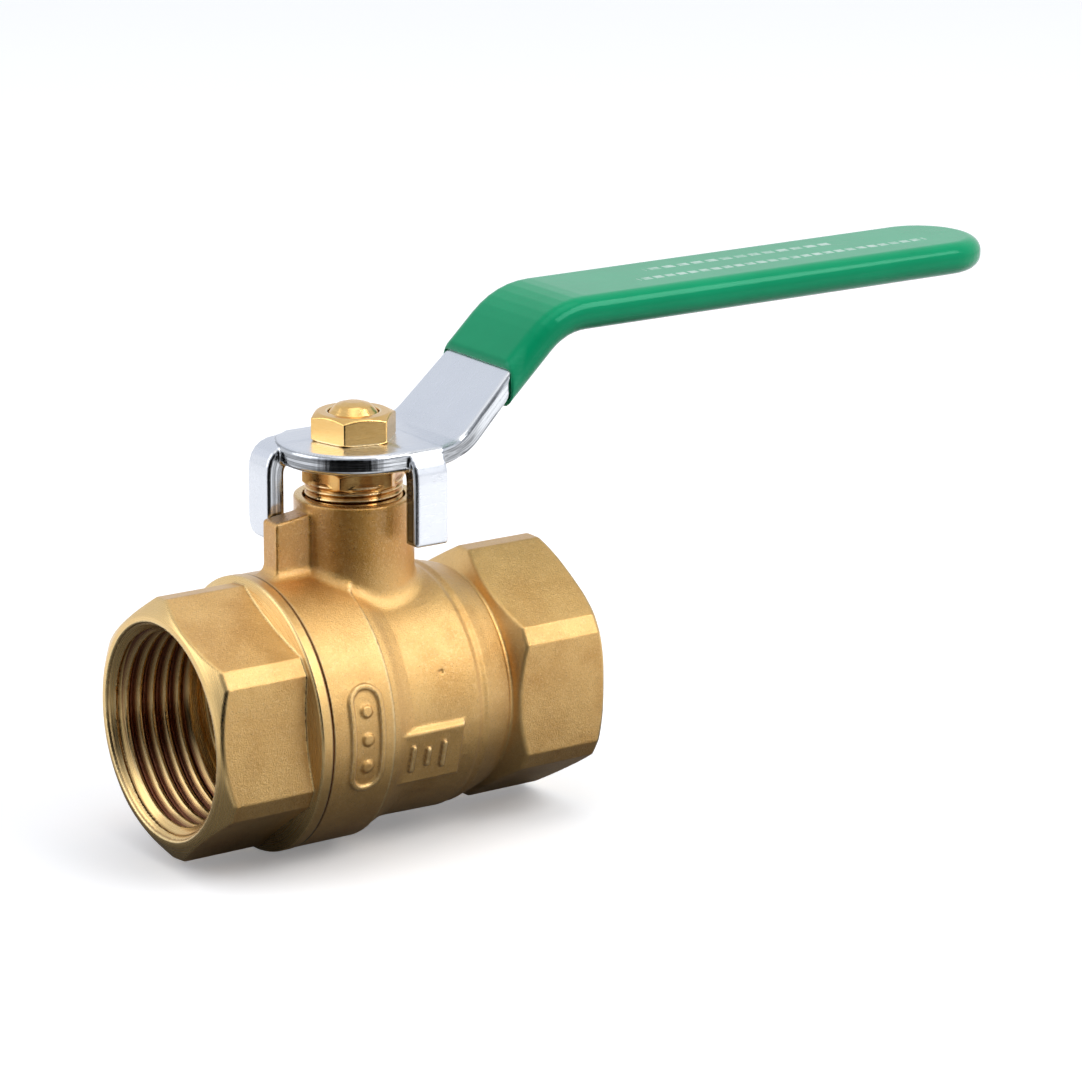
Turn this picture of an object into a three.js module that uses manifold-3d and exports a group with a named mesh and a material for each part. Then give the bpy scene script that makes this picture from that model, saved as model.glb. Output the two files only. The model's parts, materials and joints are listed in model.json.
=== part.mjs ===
// A one inch lever-operated brass ball valve with female pipe threads, as an assembly of separate pieces.
// Millimetres. +X runs along the pipe towards the body's own socket and +Z runs up the stem. Every piece is
// designed about the centre of the ball; the assembly then stands on z = 0, with its origin at the middle of
// its length and width. The valve is modelled open, with its lever lying along +X.

import * as THREE from 'three';
import { mergeVertices } from 'three/addons/utils/BufferGeometryUtils.js';
import Module from 'manifold-3d';

const wasm = await Module();
wasm.setup();

// ---- driving dimensions ----------------------------------------------------------------------------------

const FACETS = 40; // around the large turned shapes
const FINE_FACETS = 24; // around the stem, its packing and its nuts

const RUN_GAP = 0.3; // left between pieces that move or screw together
const PAST = 1; // how far a cut runs past the face it opens, or a joined shape into its neighbour

// The ball, its port and the pipe threads.
const BALL_R = 15.5;
const PORT_R = 10;
const SLOT_FLOOR_Z = 11.2;
const SLOT_WIDTH = 6;
const THREAD_MINOR_R = 15.15;
const THREAD_MAJOR_R = 16.3;
const THREAD_PITCH = 2.309;
const THREAD_TURNS = 6;
const MOUTH_R = 16.93;
const MOUTH_DEPTH = 1.7;

// The body, from the joint with the end connector to its own socket.
const JOINT_X = -17.3;
const WIDE_R = 21.6;
const WIDE_END_X = -6.1;
const WAIST_X = -1.8;
const WAIST_R = 19.7;
const STEP_X = 10.8; // a shallow step in the middle of the waist
const STEP_RUN = 1.3;
const STEP_DEPTH = 0.3;
const BARREL_END_X = 17.2;
const BARREL_END_R = 18.6;
const BARREL_END_ROUND = 0.9;
const NECK_R = 17.5;
const BODY_HEX_X = 18.9;
const BODY_END_X = 35;
const HEX_HALF_AF = 18.6;
const HEX_STRIP_R = 20.6; // distance from the axis to the flats that truncate the hexagon's corners
const HEX_CLEAR_R = 21.6; // outside every corner of the hexagons
const HEX_SHOULDER = 0.65; // rise in X for each millimetre of radius on the body hexagon's turned inner end
const END_FACE_R = 17.7;
const CAVITY_R = 16.2;

// The end connector, screwed into the body from -X.
const END_X = -35.2;
const END_HEX_X = -20.2;
const END_HEX_TURN = THREE.MathUtils.degToRad(-6);
const COLLAR_X = -19.15;
const COLLAR_R = 21.7;
const JOINT_THREAD_R = 17;
const CONNECTOR_TIP_X = -9.8;
const CONNECTOR_CHAMFER = 0.8;

// The seats on both sides of the ball.
const SEAT_BACK_X = 12.9;
const SEAT_FRONT_X = 9.9; // the mouth of the pocket
const SEAT_NOSE_X = 9.7; // the ring's own front, just proud of its pocket
const SEAT_OUTER_R = 14.4;
const SEAT_POCKET_R = 14.6;
const SEAT_INNER_R = 10.4;
const SEAL_OUTER_R = 19;
const SEAL_GROOVE_R = 19.2;
const SEAL_DEPTH = 1.4;

// The bonnet and what it holds around the stem.
const BONNET_R = 9.4;
const BONNET_TOP_Z = 32.7;
const BONNET_CHAMFER = 0.5;
const BOX_R = 7.7;
const BOX_FLOOR_Z = 21;
const COUNTERBORE_R = 7.2;
const COUNTERBORE_TOP_Z = 19.2;
const LUG_TIP_X = -15.3;
const LUG_HALF_WIDTH = 2;
const LUG_TIP_Z = 30.3;
const LUG_ROOT_Z = 31.1;

// The stem.
const STEM_R = 4.95;
const STEM_HOLE_R = 5.2;
const TANG_THICKNESS = SLOT_WIDTH - 2 * RUN_GAP;
const TANG_LENGTH = 9.6;
const COLLAR_BOTTOM_Z = 15.9;
const COLLAR_TOP_Z = 17.9;
const STEM_COLLAR_R = 6.9;
const STEM_FLATS = 6; // across the two flats that drive the lever
const STEM_THREAD_R = 3.9;
const STEM_DOME_R = 3.55;
const STEM_DOME_HEIGHT = 1.5;

// The gland nut and the packing under it.
const PACKING_TOP_Z = 26.4;
const PACKING_RINGS = 3;
const PACKING_R = 7.4;
const PACKING_VEE = 0.7;
const GLAND_HEX_Z = 34.5;
const GLAND_TOP_Z = 37.6;
const GLAND_AF = 14.4;
const GLAND_TURN = THREE.MathUtils.degToRad(43);

// The lever, a bent steel plate with two stop tabs.
const PLATE = 3.2;
const PLATE_TOP_Z = 41.5;
const PLATE_BOTTOM_Z = PLATE_TOP_Z - PLATE;
const HUB_R = 12.1;
const HUB_SHOULDER_Y = 12.6; // where the hub's front edge turns from its tab towards the strip
const SLOPE_FOOT_HALF_WIDTH = 10.2;
const SLOPE_HEAD_HALF_WIDTH = 9.3;
const TANG_START_X = 26.8;
const TANG_HALF_WIDTH = 8.6; // inside the grip
const TAB_REACH = 14.2;
const TAB_NEAR = LUG_HALF_WIDTH + RUN_GAP;
const TAB_FAR = 8.4;
const TAB_BEND_R = 5;
const TAB_BOTTOM_Z = 26.4;
const SLOPE = THREE.MathUtils.degToRad(43.5);
const SLOPE_FOOT_X = 13.3;
const HANDLE_MID_Z = 58;
const LEVER_BEND_R = 6.5;
const HANDLE_BEND_R = 12.5;
const STEEL_END_X = 120.8;

// The vinyl grip, pushed over the lever.
const GRIP_THICKNESS = 5.4;
const GRIP_HALF_WIDTH = 9.9;
const GRIP_START_X = 22.8;
const GRIP_END_X = 122.5;

// The handle nut.
const NUT_AF = 12;
const NUT_TURN = THREE.MathUtils.degToRad(46);
const NUT_TOP_Z = 45.8;
const NUT_CHAMFER_RUN = 1.2;
const NUT_CHAMFER_RISE = 0.55;

// Where the ball's centre stands in the finished valve.
const BALL_CENTRE = [-(END_X + GRIP_END_X) / 2, 0, COLLAR_R];

// ---- solids ----------------------------------------------------------------------------------------------

// The solid enclosed by a closed geometry, whichever way its faces were wound.
function solid(geometry) {
  const plain = geometry.clone();
  plain.deleteAttribute('normal');
  plain.deleteAttribute('uv');
  const merged = mergeVertices(plain, 1e-4);
  const points = merged.getAttribute('position').array;
  const faces = [];
  let volume = 0;
  for (let i = 0; i < merged.index.count; i += 3) {
    const [a, b, c] = merged.index.array.slice(i, i + 3);
    if (a === b || b === c || c === a) continue;
    faces.push(a, b, c);
    const corners = [a, b, c].map((v) => new THREE.Vector3().fromArray(points, 3 * v));
    volume += corners[0].dot(corners[1].cross(corners[2]));
  }
  if (volume < 0) faces.reverse();
  const mesh = { numProp: 3, vertProperties: new Float32Array(points), triVerts: new Uint32Array(faces) };
  return new wasm.Manifold(new wasm.Mesh(mesh));
}

// A geometry with the surface of a manifold solid.
function surface(manifold) {
  const mesh = manifold.getMesh();
  const geometry = new THREE.BufferGeometry();
  geometry.setAttribute('position', new THREE.BufferAttribute(mesh.vertProperties, 3));
  geometry.setIndex(new THREE.BufferAttribute(mesh.triVerts, 1));
  geometry.computeVertexNormals();
  return geometry;
}

function join(...solids) {
  return solids.reduce((whole, piece) => whole.add(piece));
}

// A solid turned about X from a closed profile of [x, r] points.
function turnedX(profile, facets = FACETS) {
  const outline = [...profile, profile[0]].map(([x, r]) => new THREE.Vector2(r, x));
  return solid(new THREE.LatheGeometry(outline, facets).rotateZ(-Math.PI / 2));
}

// A solid turned about Z from a closed profile of [r, z] points.
function turnedZ(profile, facets = FINE_FACETS) {
  const outline = [...profile, profile[0]].map(([r, z]) => new THREE.Vector2(r, z));
  return solid(new THREE.LatheGeometry(outline, facets).rotateX(Math.PI / 2));
}

// The area under a line of [x, r] points, down to the X axis.
function filled(line) {
  return [[line[0][0], 0], ...line, [line[line.length - 1][0], 0]];
}

function box(lowX, highX, lowY, highY, lowZ, highZ) {
  const geometry = new THREE.BoxGeometry(highX - lowX, highY - lowY, highZ - lowZ);
  return solid(geometry.translate((lowX + highX) / 2, (lowY + highY) / 2, (lowZ + highZ) / 2));
}

// A hexagonal bar along Z, with a corner at the angle `turn` from +X.
function hexBarZ(acrossFlats, lowZ, highZ, turn) {
  const cornerR = acrossFlats / Math.sqrt(3);
  const bar = new THREE.CylinderGeometry(cornerR, cornerR, highZ - lowZ, 6);
  bar.rotateX(Math.PI / 2).rotateZ(turn + Math.PI / 2).translate(0, 0, (lowZ + highZ) / 2);
  return solid(bar);
}

// A hexagonal bar along X with its corners at top and bottom, each corner cut back to a narrow flat.
function pipeHex(lowX, highX, turn) {
  const bar = (halfAcross, angle) => {
    const cornerR = halfAcross / Math.cos(Math.PI / 6);
    const geometry = new THREE.CylinderGeometry(cornerR, cornerR, highX - lowX, 6);
    return solid(geometry.rotateZ(Math.PI / 2).rotateX(angle).translate((lowX + highX) / 2, 0, 0));
  };
  return bar(HEX_HALF_AF, turn).intersect(bar(HEX_STRIP_R, turn + Math.PI / 6));
}

// Points of an arc about a centre, both ends included.
function arc(centreX, centreY, radius, startDegrees, endDegrees, steps) {
  return Array.from({ length: steps + 1 }, (_, i) => {
    const angle = THREE.MathUtils.degToRad(startDegrees + ((endDegrees - startDegrees) * i) / steps);
    return [centreX + radius * Math.cos(angle), centreY + radius * Math.sin(angle)];
  });
}

// ---- pipe sockets ----------------------------------------------------------------------------------------

// The wall of a threaded socket as [x, r] points, from its mouth to the port. `inward` is +1 or -1 along X.
function socketWall(mouthX, inward) {
  const wall = [[mouthX, MOUTH_R]];
  const threadStart = MOUTH_DEPTH;
  for (let turn = 0; turn < THREAD_TURNS; turn++) {
    const depth = threadStart + turn * THREAD_PITCH;
    wall.push([mouthX + inward * depth, THREAD_MINOR_R]);
    wall.push([mouthX + inward * (depth + THREAD_PITCH / 2), THREAD_MAJOR_R]);
  }
  const threadEnd = threadStart + THREAD_TURNS * THREAD_PITCH;
  const coneDepth = THREAD_MINOR_R - PORT_R;
  wall.push([mouthX + inward * threadEnd, THREAD_MINOR_R]);
  wall.push([mouthX + inward * (threadEnd + coneDepth / 2), PORT_R]);
  return wall;
}

// ---- root pieces -----------------------------------------------------------------------------------------

function bodyBarrel() {
  const wideEnd = WAIST_X - WIDE_END_X;
  const blend = Array.from({ length: 5 }, (_, i) => {
    const t = (i + 0.5) / 5;
    const fall = (1 - Math.cos(Math.PI * t)) / 2;
    return [WIDE_END_X + wideEnd * t, WIDE_R + (WAIST_R - WIDE_R) * fall];
  });
  return turnedX(
    filled([
      [JOINT_X, WIDE_R],
      [WIDE_END_X, WIDE_R],
      ...blend,
      [WAIST_X, WAIST_R],
      [STEP_X, WAIST_R],
      [STEP_X + STEP_RUN, WAIST_R - STEP_DEPTH],
      [BARREL_END_X - BARREL_END_ROUND, BARREL_END_R],
      [BARREL_END_X, BARREL_END_R - BARREL_END_ROUND],
      [BARREL_END_X + RUN_GAP, NECK_R],
      [BODY_HEX_X + RUN_GAP, NECK_R],
    ]),
  );
}

function bodyHex() {
  const shoulderX = (radius) => BODY_HEX_X + (radius - HEX_HALF_AF) * HEX_SHOULDER;
  const turning = turnedX(
    filled([
      [shoulderX(NECK_R), NECK_R],
      [shoulderX(HEX_CLEAR_R), HEX_CLEAR_R],
      [BODY_END_X - 2, HEX_CLEAR_R],
      [BODY_END_X - 0.25, HEX_HALF_AF],
      [BODY_END_X, END_FACE_R],
    ]),
  );
  return pipeHex(BODY_HEX_X - PAST, BODY_END_X + PAST, 0).intersect(turning);
}

// The upright neck that holds the stem.
function bonnet() {
  return turnedZ(
    [
      [0, 0],
      [BONNET_R, 0],
      [BONNET_R, BONNET_TOP_Z - BONNET_CHAMFER],
      [BONNET_R - BONNET_CHAMFER, BONNET_TOP_Z],
      [0, BONNET_TOP_Z],
    ],
    FACETS,
  );
}

// The lug on the bonnet that both stop tabs of the lever come up against.
function stopLug() {
  const side = new THREE.Shape();
  side.moveTo(0, 0);
  side.lineTo(LUG_TIP_X, 0);
  side.lineTo(LUG_TIP_X, LUG_TIP_Z - BONNET_CHAMFER);
  side.lineTo(LUG_TIP_X + BONNET_CHAMFER, LUG_TIP_Z);
  side.lineTo(-BONNET_R, LUG_ROOT_Z);
  side.lineTo(0, LUG_ROOT_Z);
  const lug = new THREE.ExtrudeGeometry(side, { depth: 2 * LUG_HALF_WIDTH, bevelEnabled: false });
  return solid(lug.rotateX(Math.PI / 2).translate(0, LUG_HALF_WIDTH, 0));
}

function body() {
  const outside = join(bodyBarrel(), bodyHex(), bonnet(), stopLug());
  const bore = turnedX(
    filled([
      [JOINT_X - PAST, SEAL_GROOVE_R],
      [JOINT_X + SEAL_DEPTH, SEAL_GROOVE_R],
      [JOINT_X + SEAL_DEPTH, JOINT_THREAD_R + RUN_GAP],
      [CONNECTOR_TIP_X + RUN_GAP, JOINT_THREAD_R + RUN_GAP],
      [CONNECTOR_TIP_X + RUN_GAP, CAVITY_R],
      [SEAT_FRONT_X, CAVITY_R],
      [SEAT_FRONT_X, SEAT_POCKET_R],
      [SEAT_BACK_X, SEAT_POCKET_R],
      [SEAT_BACK_X, PORT_R],
      ...socketWall(BODY_END_X, -1).reverse(),
      [BODY_END_X + PAST, MOUTH_R],
    ]),
  );
  const stemBore = turnedZ([
    [0, 0],
    [COUNTERBORE_R, 0],
    [COUNTERBORE_R, COUNTERBORE_TOP_Z],
    [STEM_HOLE_R, COUNTERBORE_TOP_Z],
    [STEM_HOLE_R, BOX_FLOOR_Z],
    [BOX_R, BOX_FLOOR_Z],
    [BOX_R, PACKING_TOP_Z],
    [BOX_R + RUN_GAP, PACKING_TOP_Z],
    [BOX_R + RUN_GAP, BONNET_TOP_Z + PAST],
    [0, BONNET_TOP_Z + PAST],
  ]);
  return outside.subtract(bore).subtract(stemBore);
}

function endConnector() {
  const hexTurning = turnedX(
    filled([
      [END_X, END_FACE_R],
      [END_X + 0.5, HEX_HALF_AF],
      [END_X + 1.7, HEX_STRIP_R],
      [END_X + 2.2, HEX_CLEAR_R],
      [END_HEX_X + PAST, HEX_CLEAR_R],
    ]),
  );
  const hex = pipeHex(END_X - PAST, END_HEX_X + PAST, END_HEX_TURN).intersect(hexTurning);
  const flange = turnedX(
    filled([
      [END_HEX_X, HEX_HALF_AF],
      [COLLAR_X, COLLAR_R],
      [JOINT_X, COLLAR_R],
      [JOINT_X, JOINT_THREAD_R],
      [CONNECTOR_TIP_X - CONNECTOR_CHAMFER, JOINT_THREAD_R],
      [CONNECTOR_TIP_X, JOINT_THREAD_R - CONNECTOR_CHAMFER],
    ]),
  );
  const bore = turnedX(
    filled([
      [END_X - PAST, MOUTH_R],
      ...socketWall(END_X, 1),
      [-SEAT_BACK_X, PORT_R],
      [-SEAT_BACK_X, SEAT_POCKET_R],
      [CONNECTOR_TIP_X + PAST, SEAT_POCKET_R],
    ]),
  );
  return join(hex, flange).subtract(bore);
}

// A PTFE seat whose inner edge follows the ball at the running gap. `side` is +1 or -1 along X.
function seatRing(side) {
  const clearR = BALL_R + RUN_GAP;
  const startAngle = THREE.MathUtils.radToDeg(Math.asin(SEAT_INNER_R / clearR));
  const endAngle = THREE.MathUtils.radToDeg(Math.acos(SEAT_NOSE_X / clearR));
  const profile = [
    [SEAT_BACK_X, SEAT_OUTER_R],
    [SEAT_BACK_X, SEAT_INNER_R],
    ...arc(0, 0, clearR, startAngle, endAngle, 3),
    [SEAT_NOSE_X, SEAT_OUTER_R],
  ];
  return turnedX(profile.map(([x, r]) => [side * x, r]));
}

function bodySealRing() {
  return turnedX([
    [JOINT_X, JOINT_THREAD_R + RUN_GAP],
    [JOINT_X, SEAL_OUTER_R],
    [JOINT_X + SEAL_DEPTH, SEAL_OUTER_R],
    [JOINT_X + SEAL_DEPTH, JOINT_THREAD_R + RUN_GAP],
  ]);
}

// One ring of the nested stem packing; the bottom ring has a flat foot and the top ring a flat head.
function packingRing(index) {
  const height = (PACKING_TOP_Z - BOX_FLOOR_Z) / PACKING_RINGS;
  const low = BOX_FLOOR_Z + index * height;
  const high = low + height;
  const middleR = (STEM_HOLE_R + PACKING_R) / 2;
  const foot = index === 0 ? 0 : PACKING_VEE;
  const head = index === PACKING_RINGS - 1 ? 0 : PACKING_VEE;
  return turnedZ([
    [STEM_HOLE_R, low],
    [middleR, low + foot],
    [PACKING_R, low],
    [PACKING_R, high],
    [middleR, high + head],
    [STEM_HOLE_R, high],
  ]);
}

function glandNut() {
  const chamfer = 0.7;
  const cornerR = GLAND_AF / Math.sqrt(3);
  const hexTurning = turnedZ([
    [0, GLAND_HEX_Z],
    [cornerR - chamfer, GLAND_HEX_Z],
    [cornerR, GLAND_HEX_Z + chamfer / 2],
    [cornerR, GLAND_TOP_Z - chamfer / 2],
    [cornerR - chamfer, GLAND_TOP_Z],
    [0, GLAND_TOP_Z],
  ]);
  const hex = hexBarZ(GLAND_AF, GLAND_HEX_Z, GLAND_TOP_Z, GLAND_TURN).intersect(hexTurning);
  const screw = turnedZ([
    [0, PACKING_TOP_Z],
    [BOX_R - chamfer, PACKING_TOP_Z],
    [BOX_R, PACKING_TOP_Z + chamfer],
    [BOX_R, GLAND_HEX_Z + PAST],
    [0, GLAND_HEX_Z + PAST],
  ]);
  const hole = turnedZ([
    [0, PACKING_TOP_Z - PAST],
    [STEM_HOLE_R, PACKING_TOP_Z - PAST],
    [STEM_HOLE_R, GLAND_TOP_Z + PAST],
    [0, GLAND_TOP_Z + PAST],
  ]);
  return join(hex, screw).subtract(hole);
}

// ---- moving pieces ---------------------------------------------------------------------------------------

function ball() {
  const sphere = solid(new THREE.SphereGeometry(BALL_R, FACETS, FACETS / 2).rotateX(Math.PI / 2));
  const port = turnedX([
    [-BALL_R - PAST, 0],
    [-BALL_R - PAST, PORT_R],
    [BALL_R + PAST, PORT_R],
    [BALL_R + PAST, 0],
  ]);
  const slot = box(-SLOT_WIDTH / 2, SLOT_WIDTH / 2, -BALL_R, BALL_R, SLOT_FLOOR_Z, BALL_R + PAST);
  return sphere.subtract(port).subtract(slot);
}

function stemThrustWasher() {
  return turnedZ([
    [STEM_HOLE_R, COLLAR_TOP_Z],
    [STEM_COLLAR_R, COLLAR_TOP_Z],
    [STEM_COLLAR_R, COUNTERBORE_TOP_Z],
    [STEM_HOLE_R, COUNTERBORE_TOP_Z],
  ]);
}

// The stem's turned outline, before its drive flats are cut.
function stemBlank() {
  const domeSteps = 4;
  const dome = Array.from({ length: domeSteps }, (_, i) => {
    const angle = ((i + 1) / domeSteps) * (Math.PI / 2);
    return [STEM_DOME_R * Math.cos(angle), NUT_TOP_Z + STEM_DOME_HEIGHT * Math.sin(angle)];
  });
  return turnedZ([
    [0, COLLAR_BOTTOM_Z],
    [STEM_COLLAR_R, COLLAR_BOTTOM_Z],
    [STEM_COLLAR_R, COLLAR_TOP_Z],
    [STEM_R, COLLAR_TOP_Z],
    [STEM_R, PLATE_BOTTOM_Z],
    [STEM_THREAD_R, PLATE_BOTTOM_Z],
    [STEM_THREAD_R, NUT_TOP_Z - STEM_THREAD_R + STEM_DOME_R],
    [STEM_DOME_R, NUT_TOP_Z],
    ...dome,
  ]);
}

function stem() {
  const tang = box(
    -TANG_THICKNESS / 2,
    TANG_THICKNESS / 2,
    -TANG_LENGTH / 2,
    TANG_LENGTH / 2,
    SLOT_FLOOR_Z + RUN_GAP,
    COLLAR_BOTTOM_Z + PAST,
  );
  const reach = STEM_R + PAST;
  const flatsTopZ = PLATE_TOP_Z + RUN_GAP;
  const farFlat = box(STEM_FLATS / 2, reach, -reach, reach, PLATE_BOTTOM_Z, flatsTopZ);
  const nearFlat = box(-reach, -STEM_FLATS / 2, -reach, reach, PLATE_BOTTOM_Z, flatsTopZ);
  return join(stemBlank(), tang).subtract(farFlat).subtract(nearFlat);
}

// The lever's centre line seen from the side, as [x, z] points from the stem to beyond the tip.
function leverLine() {
  const hubZ = PLATE_TOP_Z - PLATE / 2;
  const degrees = THREE.MathUtils.radToDeg(SLOPE);
  const footX = SLOPE_FOOT_X + (PLATE / 2) * Math.tan(SLOPE / 2);
  const headX = footX + (HANDLE_MID_Z - hubZ) / Math.tan(SLOPE);
  const lowX = footX - LEVER_BEND_R * Math.tan(SLOPE / 2);
  const highX = headX + HANDLE_BEND_R * Math.tan(SLOPE / 2);
  return [
    [0, hubZ],
    ...arc(lowX, hubZ + LEVER_BEND_R, LEVER_BEND_R, -90, degrees - 90, 4),
    ...arc(highX, HANDLE_MID_Z - HANDLE_BEND_R, HANDLE_BEND_R, 90 + degrees, 90, 6),
    [GRIP_END_X + PAST, HANDLE_MID_Z],
  ];
}

// The unit direction between two [x, z] points.
function direction([fromX, fromZ], [toX, toZ]) {
  return new THREE.Vector2(toX - fromX, toZ - fromZ).normalize();
}

// A convex section of [y, height] points swept along a line of [x, z] points, mitred at each of them.
function sweptBar(line, section) {
  const points = [];
  const lastStep = line.length - 1;
  line.forEach(([x, z], i) => {
    const into = direction(line[Math.max(i - 1, 0)], line[Math.max(i, 1)]);
    const out = direction(line[Math.min(i, lastStep - 1)], line[Math.min(i + 1, lastStep)]);
    const mitre = into.add(out);
    mitre.multiplyScalar(2 / mitre.lengthSq());
    section.forEach(([y, height]) => points.push(x - mitre.y * height, y, z + mitre.x * height));
  });
  const size = section.length;
  const last = size * lastStep;
  const faces = [];
  for (let corner = 0; corner < size; corner++) {
    const next = (corner + 1) % size;
    for (let start = 0; start < last; start += size) {
      const end = start + size;
      faces.push(start + corner, start + next, end + next);
      faces.push(start + corner, end + next, end + corner);
    }
  }
  for (let corner = 1; corner < size - 1; corner++) {
    faces.push(0, corner + 1, corner);
    faces.push(last, last + corner, last + corner + 1);
  }
  const geometry = new THREE.BufferGeometry();
  geometry.setAttribute('position', new THREE.Float32BufferAttribute(points, 3));
  geometry.setIndex(faces);
  return solid(geometry);
}

// A strip's section: a rectangle whose corners are cut back by `chamfer`.
function stripSection(halfWidth, thickness, chamfer = 0) {
  const half = thickness / 2;
  const quarter = [
    [halfWidth, half - chamfer],
    [halfWidth - chamfer, half],
  ];
  const top = [...quarter, ...quarter.map(([y, height]) => [-y, height]).reverse()];
  return [...top, ...top.map(([y, height]) => [-y, -height])];
}

// A flat outline of [x, y] points, extruded upwards through the whole lever.
function planCut(points) {
  const outline = new THREE.Shape(points.map(([x, y]) => new THREE.Vector2(x, y)));
  const height = 2 * HANDLE_MID_Z;
  return solid(new THREE.ExtrudeGeometry(outline, { depth: height, bevelEnabled: false }));
}

// The plan of a strip that starts square at startX and ends in a half circle at endX.
function roundEnded(startX, endX, halfWidth) {
  return [[startX, -halfWidth], ...arc(endX - halfWidth, 0, halfWidth, -90, 90, 10), [startX, halfWidth]];
}

// A stop tab bent down at -X, reaching from TAB_NEAR to TAB_FAR along +Y.
function stopTab() {
  const bendX = TAB_BEND_R - TAB_REACH;
  const bendZ = PLATE_TOP_Z - TAB_BEND_R;
  const rootX = -HUB_R / 2;
  const points = [
    [rootX, PLATE_TOP_Z],
    ...arc(bendX, bendZ, TAB_BEND_R, 90, 180, 5),
    [-TAB_REACH, TAB_BOTTOM_Z],
    [-TAB_REACH + PLATE, TAB_BOTTOM_Z],
    ...arc(bendX, bendZ, TAB_BEND_R - PLATE, 180, 90, 4),
    [rootX, PLATE_BOTTOM_Z],
  ];
  const side = new THREE.Shape(points.map(([x, z]) => new THREE.Vector2(x, z)));
  const tab = new THREE.ExtrudeGeometry(side, { depth: TAB_FAR - TAB_NEAR, bevelEnabled: false });
  return tab.rotateX(Math.PI / 2).translate(0, TAB_FAR, 0);
}

// The same tab on the other side of the lug: X and Y change places.
function secondStopTab() {
  const swap = new THREE.Matrix4().set(0, 1, 0, 0, 1, 0, 0, 0, 0, 0, 1, 0, 0, 0, 0, 1);
  return stopTab().applyMatrix4(swap);
}

function hub() {
  const disc = turnedZ(
    [
      [0, PLATE_BOTTOM_Z],
      [HUB_R, PLATE_BOTTOM_Z],
      [HUB_R, PLATE_TOP_Z],
      [0, PLATE_TOP_Z],
    ],
    FACETS,
  );
  const reach = HUB_R + PAST;
  const backZ = [PLATE_BOTTOM_Z - PAST, PLATE_TOP_Z + PAST];
  return disc.subtract(box(-reach, reach, SLOPE_FOOT_HALF_WIDTH, reach, ...backZ));
}

// The hole that fits over the stem's two drive flats.
function leverHole() {
  const holeR = STEM_THREAD_R + RUN_GAP;
  const round = turnedZ([
    [0, PLATE_BOTTOM_Z - PAST],
    [holeR, PLATE_BOTTOM_Z - PAST],
    [holeR, PLATE_TOP_Z + PAST],
    [0, PLATE_TOP_Z + PAST],
  ]);
  const halfFlats = STEM_FLATS / 2 + RUN_GAP;
  return round.intersect(box(-halfFlats, halfFlats, -holeR - PAST, holeR + PAST, 0, HANDLE_MID_Z));
}

function lever() {
  const plan = planCut([
    [0, -HUB_R],
    [TAB_FAR, -HUB_SHOULDER_Y],
    [SLOPE_FOOT_X, -SLOPE_FOOT_HALF_WIDTH],
    [GRIP_START_X, -SLOPE_HEAD_HALF_WIDTH],
    ...roundEnded(TANG_START_X, STEEL_END_X, TANG_HALF_WIDTH),
    [GRIP_START_X, SLOPE_HEAD_HALF_WIDTH],
    [SLOPE_FOOT_X, SLOPE_FOOT_HALF_WIDTH],
    [0, SLOPE_FOOT_HALF_WIDTH],
  ]);
  const strip = sweptBar(leverLine(), stripSection(HUB_SHOULDER_Y + PAST, PLATE)).intersect(plan);
  return join(strip, hub(), solid(stopTab()), solid(secondStopTab())).subtract(leverHole());
}

function leverGrip() {
  const line = leverLine();
  const outside = sweptBar(line, stripSection(GRIP_HALF_WIDTH, GRIP_THICKNESS, GRIP_THICKNESS / 3));
  const outsidePlan = planCut(roundEnded(GRIP_START_X, GRIP_END_X, GRIP_HALF_WIDTH));
  const cavityHalfWidth = SLOPE_HEAD_HALF_WIDTH + RUN_GAP;
  const cavity = sweptBar(line, stripSection(cavityHalfWidth + PAST, PLATE + 2 * RUN_GAP));
  const cavityPlan = planCut(roundEnded(GRIP_START_X - PAST, STEEL_END_X + RUN_GAP, cavityHalfWidth));
  return outside.intersect(outsidePlan).subtract(cavity.intersect(cavityPlan));
}

function handleNut() {
  const cornerR = NUT_AF / Math.sqrt(3);
  const faceR = cornerR - NUT_CHAMFER_RUN;
  const holeR = STEM_THREAD_R + RUN_GAP;
  const turning = turnedZ([
    [0, PLATE_TOP_Z],
    [faceR, PLATE_TOP_Z],
    [cornerR, PLATE_TOP_Z + NUT_CHAMFER_RISE],
    [cornerR, NUT_TOP_Z - NUT_CHAMFER_RISE],
    [faceR, NUT_TOP_Z],
    [0, NUT_TOP_Z],
  ]);
  const hole = turnedZ([
    [0, PLATE_TOP_Z - PAST],
    [holeR, PLATE_TOP_Z - PAST],
    [holeR, NUT_TOP_Z + PAST],
    [0, NUT_TOP_Z + PAST],
  ]);
  return hexBarZ(NUT_AF, PLATE_TOP_Z, NUT_TOP_Z, NUT_TURN).intersect(turning).subtract(hole);
}

// ---- the assembly ----------------------------------------------------------------------------------------

const FORGED_BRASS = { color: 0xb48a4a, roughness: 0.45, metalness: 1 };
const POLISHED_BRASS = { color: 0xd0a050, roughness: 0.18, metalness: 1 };
const BALL_CHROME = { color: 0xc8ccd2, roughness: 0.08, metalness: 1 };
const PTFE = { color: 0xf0efe9, roughness: 0.5, metalness: 0 };
const PLATED_STEEL = { color: 0xc3c8d2, roughness: 0.2, metalness: 1 };
const GREEN_VINYL = { color: 0x18935f, roughness: 0.3, metalness: 0 };
const SEAL_RUBBER = { color: 0x1c1c1e, roughness: 0.7, metalness: 0 };

const valve = new THREE.Group();

function place(name, manifold, look) {
  const geometry = surface(manifold).translate(...BALL_CENTRE);
  const mesh = new THREE.Mesh(geometry, new THREE.MeshStandardMaterial(look));
  mesh.name = name;
  valve.add(mesh);
}

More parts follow.
